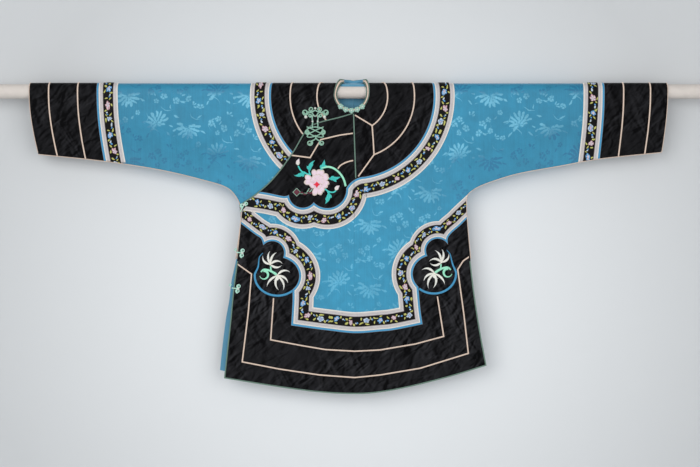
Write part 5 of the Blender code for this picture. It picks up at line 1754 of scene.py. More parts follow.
class JACKET_OT_rod(bpy.types.Operator):
    """Adds the covered rod"""

    bl_idname = "jacket.rod"
    bl_label = "Rod"

    def execute(self, context):
        bpy.ops.object.select_all(action="DESELECT")
        bpy.ops.mesh.primitive_cylinder_add(
            vertices=context.scene.jacket_sizes.rod_sides, radius=ROD_RADIUS * MM,
            depth=2 * ROD_HALF_LENGTH * MM, end_fill_type="NGON", location=(ROD_LOW + ROD_HIGH) / 2,
            rotation=(0, math.pi / 2, 0))
        rod = context.object
        rod.name = "rod_cover"
        bpy.ops.object.transform_apply(location=True, rotation=True, scale=True)
        apply_modifier(rod, "BEVEL", width=ROD_BEVEL * MM, segments=3, limit_method="ANGLE")
        bpy.ops.object.shade_smooth_by_angle(angle=ROD_SMOOTHING)
        rod.data.materials.append(MATERIALS["rod"])
        dress(rod, "rod_cover", "rod")
        return {"FINISHED"}


class JACKET_OT_damask(bpy.types.Operator):
    """Cuts and hangs the five pieces of blue damask"""

    bl_idname = "jacket.damask"
    bl_label = "Damask"

    def execute(self, context):
        finish = (("damask", "lining"), "damask", CLOTH, size("cloth_step"))
        for hand in ("right", "left"):
            sew_cloth(f"sleeve_{hand}", *finish, *cut_by(("outline", f"{hand}_sleeve")))
        sew_cloth("body_left", *finish, *cut_by(("outline", "left_half"), ("left_sleeve_wide", "neck")))
        sew_cloth("overlap_front", *finish, *cut_by(("outline", "right_half", "overlap"), ("neck",)))
        shapes = ("outline", "right_half", "right_sleeve_wide", "overlap_wide", "underlap", "neck")
        sew_cloth("body_right", *finish, cut_by(shapes)[0], keep_right_body,
                  guides=[lapel_edge(0), lapel_edge(-UNDERLAP_SLOPE)], sink=underlap_sink)
        return {"FINISHED"}


def keep_right_body(names):
    """The right body is all of its half but what the overlap covers, and its underlap."""
    inside = {"outline", "right_half"} <= names and not {"right_sleeve_wide", "neck"} & names
    return inside and ("overlap_wide" not in names or "underlap" in names)


class JACKET_OT_satin(bpy.types.Operator):
    """Cuts and hangs the black satin of yoke, lapel, borders and cuffs"""

    bl_idname = "jacket.satin"
    bl_label = "Satin"

    def execute(self, context):
        finish = ("satin", LOWER, size("satin_step"))
        yoke_right = yoke_arc(YOKE[2], *YOKE_ROUND)
        yoke_left = edge_of(left_yoke_legs()) + front(YOKE_LEFT_REACH)
        lapel = edge_of(whole_lapel_legs()) + front(LAPEL_SATIN_REACH)
        for node, shape, must, but in (
                ("yoke_satin_right", yoke_right, ("satin", "right_half"), ("overlap_wide", "neck")),
                ("yoke_satin_left", yoke_left, ("satin", "left_half"), ("neck",)),
                ("lapel_satin", lapel, ("satin", "outline", "right_half", "overlap"), ("neck",))):
            sew_cloth(node, ("satin",), *finish, *cut_by(must, but, satin=shape))
        border = edge_of(border_legs()) + front(BORDER_REACH)
        for side, shape in (("front", border), ("back", mirrored(border))):
            cut = cut_by(("satin", "panel"), satin=shape, panel=panel_outline(side))
            sew_cloth(f"border_satin_{side}", ("border satin",), *finish, *cut)
        for hand, satin_x, cuff_x in (("right", CUFF_SATIN_RIGHT, CUFF_RIGHT),
                                      ("left", CUFF_SATIN_LEFT, CUFF_LEFT)):
            edge = round_sleeve(satin_x, CUFF_REACH)
            far = cuff_x * CUFF_SATIN_REACH
            shape = [*edge, (far, edge[-1][1]), (far, edge[0][1])]
            sew_cloth(f"cuff_satin_{hand}", ("satin",), *finish, *cut_by(("satin", "outline"), satin=shape))
        return {"FINISHED"}


class JACKET_OT_trims(bpy.types.Operator):
    """Sews blue edging, white tape and floral ribbon beside every satin edge"""

    bl_idname = "jacket.trims"
    bl_label = "Trims"

    def execute(self, context):
        low_runs = trim_runs(HALF_SEAM)
        high_runs = trim_runs(trim_margin())
        for trim, runs, section, layer in (
                ("edging", low_runs, flat_section(*EDGING, LOWER, 3, 0.5), LOWER),
                ("tape", low_runs, flat_section(*TAPE, LOWER, 9), LOWER),
                ("ribbon", high_runs, flat_section(*RIBBON, UPPER, 5, 0.1), UPPER)):
            for piece, part, legs, starts, stops, flip in runs:
                node = "_".join(word for word in (piece, trim, part) if word)
                satin = "_".join(word for word in (piece, "satin", part) if word)
                wide = trim != "edging"
                sew_strip(node, trim, [legs], section, layer[0], starts, stops, flip, wide,
                          None if wide else satin)
        return {"FINISHED"}


class JACKET_OT_piping(bpy.types.Operator):
    """Sews cream piping on the satin of yoke, lapel, borders and cuffs"""

    bl_idname = "jacket.piping"
    bl_label = "Piping"

    def execute(self, context):
        section = round_section(size("piping_width"), PIPING_LOW)
        margin = trim_margin()

        def sew(node, on, lines, starts=(), stops=(), flip=False):
            runs = [plain(line) for line in lines]
            sew_strip(node, "piping", runs, section, PIPING_LOW, starts, stops, flip, on=on)

        yoke = [yoke_arc(*YOKE_PIPING_OUTER), yoke_arc(*YOKE_PIPING_INNER), front(YOKE_PIPING_LINK)]
        sew("yoke_piping", "yoke_satin_left", yoke, [lapel_edge(-margin)])
        centre = [centre_front(-margin)]
        sew("lapel_piping", "lapel_satin", [front(LAPEL_PIPING)], centre, [lapel_edge(margin)])
        sew("lapel_piping_curl", "lapel_satin", [front(smooth(LAPEL_PIPING_ARC))], centre)
        for side in PANELS:
            right, left = [edge_line(hand, side) for hand in ("right", "left")]
            if side == "back":
                right, left = mirrored(right), mirrored(left)
            starts = [shifted(right, HEM_BINDING_WIDTH + PIECE_GAP)]
            stops = [shifted(left, -HEM_BINDING_WIDTH - PIECE_GAP)]
            for place, line in (("outer", BORDER_PIPING_OUTER), ("inner", BORDER_PIPING_INNER)):
                sew(f"border_piping_{place}_{side}", f"border_satin_{side}", [front(line)], starts, stops,
                    side == "back")
        for hand, lines in (("right", CUFF_PIPING_RIGHT), ("left", CUFF_PIPING_LEFT)):
            for place, x in zip(("outer", "inner"), lines):
                sew(f"cuff_piping_{place}_{hand}", f"cuff_satin_{hand}", [round_sleeve(x, CUFF_REACH)],
                    [edge_line(hand, "back")], [edge_line(hand, "front")])
        return {"FINISHED"}


class JACKET_OT_bindings(bpy.types.Operator):
    """Binds the lapel, the centre line, the slits and the hem, and sews the medallion rings"""

    bl_idname = "jacket.bindings"
    bl_label = "Bindings and rings"

    def execute(self, context):
        top, _, low = CENTRE_BINDING_DEPTHS
        centre = [(centre_x(d) + CENTRE_BINDING_LEAN * (d - top) / (low - top), QUARTER + d)
                  for d in CENTRE_BINDING_DEPTHS]
        sew_strip("lapel_binding", "binding", [plain(lapel_edge(0)), plain(centre)],
                  round_section(size("binding_width"), PIPING_LOW), PIPING_LOW, on="overlap_front")
        for side, (_, hem, edges) in PANELS.items():
            right, left = [[p for p in edges[hand] if p[1] >= SLIT_DEPTH] for hand in ("right", "left")]
            legs = plain(*[shifted(front(smooth(leg)), HEM_BINDING_WIDTH / 2 + HALF_SEAM)
                           for leg in (right, hem, left[::-1])])
            sew_strip(f"hem_binding_{side}", "binding", [legs], round_section(HEM_BINDING_WIDTH, PIPING_LOW),
                      PIPING_LOW, flip=side == "back", on=f"border_satin_{side}")
        for side in PANELS:
            sew_ring("right", side, CLOUD_RIGHT_LOW, RING_RIGHT_ANGLES, RING_RIGHT_TAIL)
            sew_ring("left", side, CLOUD_LEFT_LOW, RING_LEFT_ANGLES, RING_LEFT_TAIL)
        section = round_section(EDGE_LINE_WIDTH, 0.0, EDGE_LINE_RISE)
        for hand, outward, cuff_x in (("right", -1, CUFF_RIGHT), ("left", 1, CUFF_LEFT)):
            mesh = new_mesh()
            reach = outward * EDGE_LINE_WIDTH / 2
            for side, way in (("front", 1), ("back", -1)):
                line = [p for p in edge_line(hand, side) if abs(p[1]) < QUARTER + SLIT_DEPTH]
                sweep(mesh, shifted(line, way * reach), section, 0.0)
            cuff = round_sleeve(cuff_x, EDGE_LINE_DEPTH)
            line = spaced(shifted(cuff, reach), len(cuff) * 2)
            sweep(mesh, [tuple(p) for p in line], section, 0.0)
            carry(f"body_{hand}", add_solid(f"edge_line_{hand}", mesh, ("piping",), "piping"))
        return {"FINISHED"}


def sew_ring(hand, side, table, angles, tail):
    """The blue strip that closes a medallion on the satin, with its curled tail."""
    x, depth, half_width, half_height = table[:4]
    reach = RING_WIDTH / 2
    ring = arc((x, QUARTER + depth), (half_width + reach, half_height + reach), *angles)
    curl = smooth([ring[-1], *front(tail)], TRIM_STEP)
    widths = [1.0] * len(ring)
    widths += [1 - (1 - RING_TIP / RING_WIDTH) * (k + 1) / (len(curl) - 1) for k in range(len(curl) - 1)]
    mesh = new_mesh()
    section = round_section(RING_WIDTH, UPPER[0], RING_RISE)
    sweep(mesh, ring + curl[1:], section, UPPER[0], widths, side == "back")
    carry(f"border_satin_{side}", finish_strip(f"cloud_ring_{hand}_{side}", mesh, "ring", "edging"))


class JACKET_OT_neckband(bpy.types.Operator):
    """Sews the neckband with its piping and binding, the painted shade in its grooves, and the row of florets
    """

    bl_idname = "jacket.neckband"
    bl_label = "Neckband"

    def execute(self, context):
        mesh = new_mesh()
        angles = [2 * math.pi * k / NECK_STATIONS for k in range(NECK_STATIONS)]
        rings = [[mesh.verts.new(p) for p in neckband_ring(angle)] for angle in angles]
        count = len(NECKBAND_SECTION)
        along, across = NECKBAND_PATTERN
        for k, angle in enumerate(angles):
            here, after = rings[k], rings[(k + 1) % NECK_STATIONS]
            for n, (_, _, silk) in enumerate(NECKBAND_SECTION):
                m = (n + 1) % count
                if n < count - 2 and math.sin(angle) < NECKBAND_TURNED:
                    silk = NECKBAND_LINING
                corners = ((k, n), (k + 1, n), (k + 1, m), (k, m))
                add_face(mesh, (here[n], after[n], after[m], here[m]),
                         [(a * along, b * across) for a, b in corners], silk)
        band = add_solid("neckband_sewn", mesh, NECKBAND_SILKS, "binding", "neckband")
        florets = add_solid("neck_florets", floret_mesh(), ("cord", "bead"), "cord")
        low, high = NECK_FACING
        mesh = new_mesh()
        line = [(NECK_X + NECK_LEAN / 2 + x, low) for x in range(-29, 30, 4)]
        sweep(mesh, line, flat_section(-high, high, (0.0, 1.0), 15), 0.0)
        facing = add_solid("neck_facing", mesh, ("lining",), "damask")
        length = 2 * math.pi * math.sqrt((NECK_HALF_WIDTH ** 2 + NECK_HALF_LENGTH ** 2) / 2)
        declare_sheet(band, (NECKBAND_CUT, length), pieces=[florets, facing])
        return {"FINISHED"}


def neckband_ring(angle):
    """The neckband's section in metres at an angle: flat in front, standing up at the back."""
    reach = 0.5
    base = Vector(hang(neck_point(angle), NECKBAND_HEIGHT)[0]) / MM
    raised = Vector(hang(neck_point(angle), NECKBAND_HEIGHT + 1)[0]) / MM
    beside = Vector(hang(neck_point(angle, reach), NECKBAND_HEIGHT)[0]) / MM
    normal = (raised - base).normalized()
    spread = (beside - base).normalized()
    up = Vector((0, 0, 1))
    stand = float(eased((NECKBAND_FLAT - math.sin(angle)) / NECKBAND_TURN))
    rise = normal.lerp(up, stand).normalized()
    level = (spread - rise * spread.dot(rise)).normalized()
    turn = stand * math.pi / 2
    run = level * math.cos(turn) + rise * math.sin(turn)
    thick = rise * math.cos(turn) - level * math.sin(turn)
    width = NECKBAND_FRONT_WIDTH + (NECKBAND_BACK_HEIGHT - NECKBAND_FRONT_WIDTH) * stand
    if stand > NECKBAND_CAPPED:
        width = min(width, (NECKBAND_TOP - base.z) / run.z)
    return [(base + run * width * share + thick * height) * MM for share, height, _ in NECKBAND_SECTION]


# Small forms: a dome's rings as share of radius and height, rows and columns of a petal and the
# height of its rim, sides of a cord, steps of a coil's turn and the share of its radius left open
DOME_PROFILE = ((1.0, 0.0), (0.92, 0.45), (0.65, 0.82), (0.3, 0.98))
PETAL_CELLS = (8, 6)
PETAL_RIM = 0.25
CORD_SIDES = 8
COIL_STEPS = 22
COIL_EYE = 0.35


def add_dome(mesh, place, radius, low, high, material=0, sides=10):
    """A small cushion on the pattern: a round dome with a flat foot."""
    faces = []
    rings = []
    for share, rise in DOME_PROFILE:
        ring = arc(place, (radius * share, radius * share), 0, 360, 360 / sides)[:-1]
        rings.append([mesh.verts.new(p) for p in hang(ring, np.full(len(ring), low + (high - low) * rise))])
    top = mesh.verts.new(hang(place, high)[0])
    around = [(k, (k + 1) % sides) for k in range(sides)]
    for lower, upper in zip(rings, rings[1:]):
        faces += [(lower[k], lower[m], upper[m], upper[k]) for k, m in around]
    faces += [(rings[-1][k], rings[-1][m], top) for k, m in around]
    for face in (*faces, rings[0][::-1]):
        mesh.faces.new(face).material_index = material


def add_petal(mesh, root, direction, length, width, low, high, bend, material, fullest, point):
    """A cushioned petal or leaf on the pattern, from its root outward, with a soft middle fold."""
    rows, columns = PETAL_CELLS
    power = math.log(0.5) / math.log(fullest)
    cells = [(i, k) for i in range(rows + 1) for k in range(columns + 1)]
    places = []
    heights = []
    for i, k in cells:
        t = i / rows
        v = 2 * k / columns - 1
        swing = math.radians(direction) + bend * t * t
        heading = swing + bend * t
        beside = v * width / 2 * math.sin(math.pi * min(0.985, max(0.03, t ** power))) ** point
        places.append((root[0] + length * t * math.cos(swing) - beside * math.sin(heading),
                       root[1] + length * t * math.sin(swing) + beside * math.cos(heading)))
        crown = (1 - v ** 4) * (0.55 + 0.45 * math.sin(math.pi * t)) * (1 - 0.28 * math.exp(-(v * 4) ** 2))
        on_edge = i in (0, rows) or k in (0, columns)
        heights.append(low + PETAL_RIM if on_edge else low + (high - low) * crown)
    tops, feet = [dict(zip(cells, [mesh.verts.new(p) for p in hang(places, np.array(side))]))
                  for side in (heights, [float(low)] * len(cells))]

    def add(*corners):
        spots = [(i / rows, 2 * k / columns - 1) for _, (i, k) in corners]
        add_face(mesh, [side[cell] for side, cell in corners], spots, material)

    for i in range(rows):
        for k in range(columns):
            a, b, c, d = (i, k), (i + 1, k), (i + 1, k + 1), (i, k + 1)
            add(*[(tops, cell) for cell in (a, b, c, d)])
            add(*[(feet, cell) for cell in (a, d, c, b)])
    edge = [(i, 0) for i in range(rows)] + [(rows, k) for k in range(columns)]
    edge += [(i, columns) for i in range(rows, 0, -1)] + [(0, k) for k in range(columns, 0, -1)]
    for a, b in zip(edge, edge[1:] + edge[:1]):
        add((tops, a), (feet, a), (feet, b), (tops, b))


def add_cord(mesh, line, radius, rest, sway=0.0, beat=0.0, start=0.0):
    """A round cord along a pattern line. Its middle rests at a height and sways up and down."""
    line = np.array(line, float)
    middles = hang(line, np.array([rest + sway * math.sin(k * beat + start) for k in range(len(line))]))
    along = np.gradient(middles, axis=0)
    along /= np.linalg.norm(along, axis=1)[:, None]
    side = np.cross(along, base_normals(line))
    side /= np.linalg.norm(side, axis=1)[:, None]
    rise = np.cross(side, along)
    sums = sums_along(middles)
    strip = 2 * math.pi * radius * MM / CORD_SIDES
    rings = []
    for k in range(CORD_SIDES):
        angle = 2 * math.pi * k / CORD_SIDES
        ring = middles + (side * math.cos(angle) + rise * math.sin(angle)) * radius * MM
        rings.append([mesh.verts.new(p) for p in ring])
    for n in range(len(line) - 1):
        for k in range(CORD_SIDES):
            here, after = rings[k], rings[(k + 1) % CORD_SIDES]
            corners = ((k, n), (k, n + 1), (k + 1, n + 1), (k + 1, n))
            add_face(mesh, (here[n], here[n + 1], after[n + 1], after[n]),
                     [(sums[b], a * strip) for a, b in corners])
    for n in (0, len(line) - 1):
        mesh.faces.new([ring[n] for ring in rings])


def spiral(x, depth, radius, start, turns):
    """A coil's line from its outside inwards. The angle is in degrees; turns may be negative."""
    count = max(8, round(abs(turns) * COIL_STEPS))
    result = []
    for k in range(count + 1):
        t = k / count
        angle = math.radians(start + 360 * turns * t)
        reach = radius * (1 - (1 - COIL_EYE) * t)
        result.append((x + reach * math.cos(angle), QUARTER + depth + reach * math.sin(angle)))
    return result


def floret_mesh():
    """The row of small silk florets at the front of the neckband."""
    mesh = bmesh.new()
    low, high = UPPER
    for k in range(FLORETS):
        angle = math.radians(90 + (k - (FLORETS - 1) / 2) * FLORET_SPACING)
        x, s = neck_point(angle, FLORET_SPREAD)
        reach = FLORET_RADIUS * 0.55
        for n in range(5):
            turn = 2 * math.pi * n / 5 + angle
            petal = (x + reach * math.cos(turn), s + reach * math.sin(turn))
            add_dome(mesh, petal, FLORET_RADIUS * 0.5, low, high + 2.4, 0, 8)
        add_dome(mesh, (x, s), FLORET_RADIUS * 0.34, low, high + 3.2, 1, 8)
    return mesh


# Chest frog: coils as x, depth, radius, start angle, turns and lift, then its woven middle, cords
# as smooth lines, and knots and dots as x, depth and radius. The weave is given as x, depth, half
# width, half height, how often it swings across and down, its lean and its number of steps.
CHEST_COILS = (
    (-114.5, 50.7, 7.4, -20, 1.6, 0.0), (-66.5, 50.7, 7.4, 200, -1.6, 0.0), (-100.3, 43.7, 6.0, 60, 1.2, 0.6),
    (-81.6, 43.7, 6.0, 120, -1.2, 0.6), (-102.7, 58.0, 4.2, 0, 1.3, 0.9), (-79.2, 58.0, 4.2, 180, -1.3, 0.9),
    (-109.6, 97.0, 5.6, 0, 1.7, 0.8), (-72.4, 97.0, 5.6, 180, -1.7, 0.8),
    (-103.6, 122.4, 6.6, -40, 1.5, 0.0), (-76.0, 122.4, 5.8, 220, -1.5, 0.0),
)
CHEST_WEAVE = (-91.0, 97.0, 19.0, 12.0, 5, 4, 0.4, 240)
CHEST_LINES = (
    ((-97.2, 58), (-98.2, 66), (-96.6, 72), (-97.8, 80), (-97.2, 88)),
    ((-85.4, 58), (-84.4, 66), (-86.0, 72), (-84.8, 80), (-85.4, 88)),
    ((-108, 52), (-98, 50), (-91, 46), (-84, 50), (-73, 52)),
    ((-91, 104), (-90, 112), (-97, 117), (-101, 118)),
    ((-90, 110), (-86, 115), (-80, 118)),
    ((-99, 52), (-91, 60), (-83, 52)),
)
CHEST_KNOTS = ((-97.4, 72, 2.6), (-85.2, 72, 2.6), (-91.0, 41.3, 3.0), (-113.0, 61.5, 4.0),
               (-69.4, 61.5, 4.0))
CHEST_DOTS = ((-94.9, 58.5, 1.9), (-88.6, 58.9, 1.9))

# Height of the cords' middles on the chest and at the side, and the spacing of their points
CORD_REST = 5.0
SMALL_CORD_REST = 4.1
CORD_STEP = 2.0
LINE_LIFT = 1.2

# How far the chest's cords sway up and down, and how fast from point to point
COIL_SWAY = (0.7, 0.6)
LINE_SWAY = (0.6, 0.7)
WEAVE_SWAY = (0.7, 0.9)

# Small frogs: x and depth of both rings, their radius, then the stem's outer end
SMALL_FROGS = (
    ("side_frog_1", ((-254.0, 265.0), (-264.0, 269.0)), 4.6, (-268.0, 284.0)),
    ("side_frog_2", ((-262.0, 375.6), (-264.0, 387.0)), 5.0, (-277.0, 379.0)),
    ("side_frog_3", ((-271.4, 460.0), (-273.8, 471.0)), 5.0, (-288.0, 464.0)),
)

# Loops at the ends of the small frogs' stems: x, depth
SIDE_LOOPS = {"side_frog_2": (-278.5, 373.0), "side_frog_3": (-291.0, 456.5)}

# Peony: its silks, then pairs of petals that make its notched lobes, as root, direction, length,
# width, foot and rise, with the turn and lift of both petals of a pair
PEONY_SILKS = ("peony", "peony heart", "leaf", "teal stem", "bead", "bud", "grey stem", "scroll", "dark bud")
PEONY_LOBES = (
    (-93, 211, 184, 25, 14, 0, 2.4), (-88, 207, -94, 24, 13, 0.2, 2.4), (-83, 208, -50, 25, 13, 0.5, 2.4),
    (-82, 212, -8, 25, 13, 0.9, 2.4), (-84, 217, 36, 24, 13, 0.5, 2.4), (-88, 221, 80, 26, 14, 0.1, 2.4),
    (-92, 216, 140, 15, 12, 0, 2.2), (-90, 212, 205, 13, 9, 2.4, 1.2), (-88, 211, -112, 15, 9, 2.3, 1.2),
    (-85, 211, -64, 16, 9, 2.7, 1.2), (-84, 214, -14, 15, 9, 2.5, 1.2), (-86, 218, 48, 13, 8, 2.6, 1.2),
    (-95, 213, -6, 15, 12, 2.6, 1.0),
)
PEONY_NOTCH = ((-19, 0.0), (19, 0.4))

# Cushions of the spray: x, depth, radius, height, silk and sides
PEONY_CUSHIONS = (
    (-87.2, 220.0, 8.0, 5.6, "peony", 16), (-87.2, 220.0, 8.4, 7.2, "peony heart", 4),
    (-134.5, 238.0, 10.2, 1.4, "grey stem", 4), (-134.5, 238.0, 8.6, 4.0, "dark bud", 4),
)

# How petals and leaves are cut: where along them they are fullest, and how pointed
PETAL_SHAPES = {
    "peony": (0.66, 0.5), "leaf": (0.42, 1.0), "leaf lobe": (0.5, 0.8), "bud": (0.4, 0.9),
    "dark bud": (0.5, 0.7), "chrysanthemum": (0.42, 0.9),
}
PEONY_BEND = 0.1

# Leaves and buds from their root: x, depth, length, width, direction and bend, and a leaf's lobes
# as shares of its length for their root and length, share of its width, and turn
LEAF_ROWS = (
    (-115, 190, 27, 9, 142, 0.35), (-106, 190, 30, 9, -80, 0.3), (-79, 187, 27, 9, -58, -0.2),
    (-60, 206, 29, 9, 3, -0.2), (-58, 238, 29, 10, 98, 0.2),
)
LEAF_LOBES = ((0.34, 0.396, 0.66, 34), (0.14, 0.372, 0.66, -38))
BUD_ROWS = ((-131.5, 175, 16, 9.5, -96, 0.3), (-43.5, 234, 15, 9.5, -66, 0.3))
DARK_BUD_ROWS = ((-127, 240, 9, 5, -20, 0.5), (-120, 241, 9, 5, 30, -0.5), (-112, 240, 10, 5, -15, 0.5),
                 (-106, 236, 10, 5, -62, 0.3), (-104, 238, 8, 5, 20, 0.3))
STEM_WIDTH = 3.4
DARK_STEM_WIDTH = 2.38
ARCH_WIDTH = 5.0
PEONY_STEMS = (((-101, 197), (-114, 194), (-125, 187), (-131, 176)), ((-112, 194), (-119, 190)),
               ((-103, 196), (-106, 188)), ((-80, 192), (-77, 184)), ((-66, 207), (-58, 206)),
               ((-69, 230), (-58, 237), (-48, 238), (-42, 234)), ((-62, 236), (-59, 244)))
DARK_STEMS = (((-126, 241), (-116, 241), (-106, 239), (-98, 230)), ((-112, 241), (-105, 229)))
PEONY_ARCH = ((-77, 181), (-60, 178.5), (-46, 183), (-33, 194), (-24, 208), (-19.5, 224))

# Chrysanthemums: both flowers of a medallion as places beside its middle, and their petals as
# direction, length and bend; then the scroll's band and crescent beside the middle
FLOWER_PLACES = ((-5.0, -12.0), (11.5, 13.5))
FLOWER_PETAL_WIDTH = 5.6
FLOWER_BEND = 1.3
FLOWER_PETALS = (
    ((-114, 31, 0.30), (-84, 32, 0.30), (-42, 29, 0.50), (38, 27, -0.45), (-166, 27, 0.48)),
    ((-50, 31, 0.48), (8, 31, 0.38), (42, 38, 0.36), (110, 35, -0.34), (152, 36, -0.26), (60, 15, 0.9)),
)
SCROLL_BAND = ((10, 12), (1, 6), (-9, 1.5), (-20, 0), (-27, 6))
SCROLL_CRESCENT = (-20.0, 12.5, 10.0, -95, 165)
SCROLL_LINK = ((-3, 4), (-4, -8))
MEDALLIONS = {"right": (-191.8, 420.0, 1), "left": (200.5, 415.0, -1)}


class JACKET_OT_frogs(bpy.types.Operator):
    """Ties the chest frog and the three small ones at the right side"""

    bl_idname = "jacket.frogs"
    bl_label = "Frogs"

    def execute(self, context):
        radius = size("cord_radius")
        mesh = new_mesh()
        for *coil, lift in CHEST_COILS:
            add_cord(mesh, spiral(*coil), radius, CORD_REST + lift, *COIL_SWAY)
        for n, points in enumerate(CHEST_LINES):
            add_cord(mesh, front(smooth(points, CORD_STEP)), radius, CORD_REST + LINE_LIFT, *LINE_SWAY, n)
        x, depth, half_width, half_height, across, down, lean, steps = CHEST_WEAVE
        turns = [2 * math.pi * k / steps for k in range(steps + 1)]
        line = [(x + half_width * math.sin(across * turn + lean), depth + half_height * math.sin(down * turn))
                for turn in turns]
        add_cord(mesh, front(line), radius * 0.85, CORD_REST, *WEAVE_SWAY)
        for silk, table in ((1, CHEST_KNOTS), (2, CHEST_DOTS)):
            for x, depth, reach in table:
                top = CORD_REST + 1.6 + reach * 0.6
                add_dome(mesh, (x, QUARTER + depth), reach, CORD_REST - 1.2, top, silk)
        finish_frog("chest_frog", mesh, "chest cord")
        rest = SMALL_CORD_REST
        for name, rings, reach, stem in SMALL_FROGS:
            mesh = new_mesh()
            for x, depth in rings:
                add_cord(mesh, spiral(x, depth, reach, 90, 1.5), radius * 0.9, rest)
            middle = ((rings[0][0] + rings[1][0]) / 2, (rings[0][1] + rings[1][1]) / 2)
            add_cord(mesh, front(smooth((middle, stem), CORD_STEP)), radius, rest + 0.8)
            if name in SIDE_LOOPS:
                add_cord(mesh, spiral(*SIDE_LOOPS[name], 3.0, 90, 1.2), radius * 0.7, rest + 0.8)
            add_dome(mesh, front([middle])[0], 3.2, rest - 1, rest + 3.4, 1)
            finish_frog(name, mesh, "cord")
        return {"FINISHED"}


def finish_frog(name, mesh, cord):
    """A frog's finished piece."""
    add_solid(f"{name}_knot", mesh, (cord, "bead", "pink bead"), "cord", name)


class JACKET_OT_peony(bpy.types.Operator):
    """Sews the peony spray on the lapel"""

    bl_idname = "jacket.peony"
    bl_label = "Peony"

    def execute(self, context):
        low = LOWER[1]
        silk = PEONY_SILKS.index
        mesh = new_mesh()
        for key, width, stems in (("teal stem", STEM_WIDTH, PEONY_STEMS),
                                  ("grey stem", DARK_STEM_WIDTH, DARK_STEMS),
                                  ("scroll", ARCH_WIDTH, (PEONY_ARCH,))):
            section = round_section(width, low, APPLIQUE_RISE)
            for stem in stems:
                sweep(mesh, front(smooth(stem, TRIM_STEP)), section, low, material=silk(key))
        for x, depth, direction, length, width, foot, rise in PEONY_LOBES:
            for turn, lift in PEONY_NOTCH:
                base = low + foot + lift
                add_petal(mesh, (x, QUARTER + depth), direction + turn, length, width, base, base + rise,
                          PEONY_BEND, silk("peony"), *PETAL_SHAPES["peony"])
        for x, depth, radius, rise, key, sides in PEONY_CUSHIONS:
            add_dome(mesh, (x, QUARTER + depth), radius, low, low + rise, silk(key), sides)
        for x, depth, length, width, direction, bend in LEAF_ROWS:
            s = QUARTER + depth
            angle = math.radians(direction)
            add_petal(mesh, (x, s), direction, length, width, low, low + 2.2, bend, silk("leaf"),
                      *PETAL_SHAPES["leaf"])
            for share, long, wide, turn in LEAF_LOBES:
                place = (x + length * share * math.cos(angle), s + length * share * math.sin(angle))
                add_petal(mesh, place, direction + turn, length * long, width * wide, low, low + 1.9,
                          0, silk("leaf"), *PETAL_SHAPES["leaf lobe"])
        for rows, rise, key in ((BUD_ROWS, 3.0, "bud"), (DARK_BUD_ROWS, 2.6, "dark bud")):
            for x, depth, length, width, direction, bend in rows:
                add_petal(mesh, (x, QUARTER + depth), direction, length, width, low, low + rise, bend,
                          silk(key), *PETAL_SHAPES[key])
        carry("lapel_satin", add_solid("peony_spray", mesh, PEONY_SILKS, "applique", "peony"))
        return {"FINISHED"}


class JACKET_OT_chrysanthemums(bpy.types.Operator):
    """Sews a pair of chrysanthemums with a scroll in both medallions of the front"""

    bl_idname = "jacket.chrysanthemums"
    bl_label = "Chrysanthemums"

    def execute(self, context):
        low = LOWER[1]
        *middle, radius, start, stop = SCROLL_CRESCENT
        band, link = [smooth(line, 2.5) for line in (SCROLL_BAND, SCROLL_LINK)]
        crescent = arc(middle, (radius, radius), start, stop, 8)
        for hand, (x, depth, side) in MEDALLIONS.items():
            mesh = new_mesh()

            def place(points):
                return [(x + side * dx, QUARTER + depth + ds) for dx, ds in points]

            for line, width, tip in ((band, 6.4, 0.6), (crescent, 7.6, 0.2), (link, 4.0, 0.9)):
                widths = [1 - (1 - tip) * k / (len(line) - 1) for k in range(len(line))]
                sweep(mesh, place(line), round_section(width, low, APPLIQUE_RISE), low, widths, material=1)
            for middle, petals in zip(place(FLOWER_PLACES), FLOWER_PETALS):
                for direction, length, bend in petals:
                    turn = direction if side > 0 else 180 - direction
                    add_petal(mesh, middle, turn, length, FLOWER_PETAL_WIDTH, low, low + 2.2,
                              bend * FLOWER_BEND * side, 0, *PETAL_SHAPES["chrysanthemum"])
                add_dome(mesh, middle, 2.6, low, low + 3.4, 0, 12)
            name = f"chrysanthemums_{hand}"
            spray = add_solid(f"{name}_spray", mesh, ("chrysanthemum", "scroll"), "applique", name)
            carry("border_satin_front", spray)
        return {"FINISHED"}


# The lights: name, place, size, and the setting that holds the power
LIGHTS = (
    ("key", (-1.7, -3.6, 0.5), 3.0, "key_power"),
    ("fill", (1.9, -3.6, -0.2), 3.0, "fill_power"),
    ("back", (0.4, 3.0, 1.2), 2.6, "fill_power"),
)
LIGHT_AIM = Vector((0, 0, -0.3))

# The room's own light, and the camera's sensor, reach and place in millimetres
ROOM_COLOUR = (0.88, 0.90, 0.92)
ROOM_STRENGTH = 0.52
SENSOR_WIDTH = 36
CAMERA_REACH = 30
VIEW_X = -9.4
VIEW_Z = -335.1

# Wall and floor in metres: their sizes and heights, and the painted shade that darkens both away from the
# jacket
WALL_SIZE = (9, 6)
WALL_MIDDLE = -0.6
FLOOR_SIZE = (9, 9)
FLOOR_HEIGHT = -1.75
LIT_MIDDLE = (0, 0, -0.46)
LIT_REACH = (0.3, 0.9)
UNLIT_SHARE = 0.72


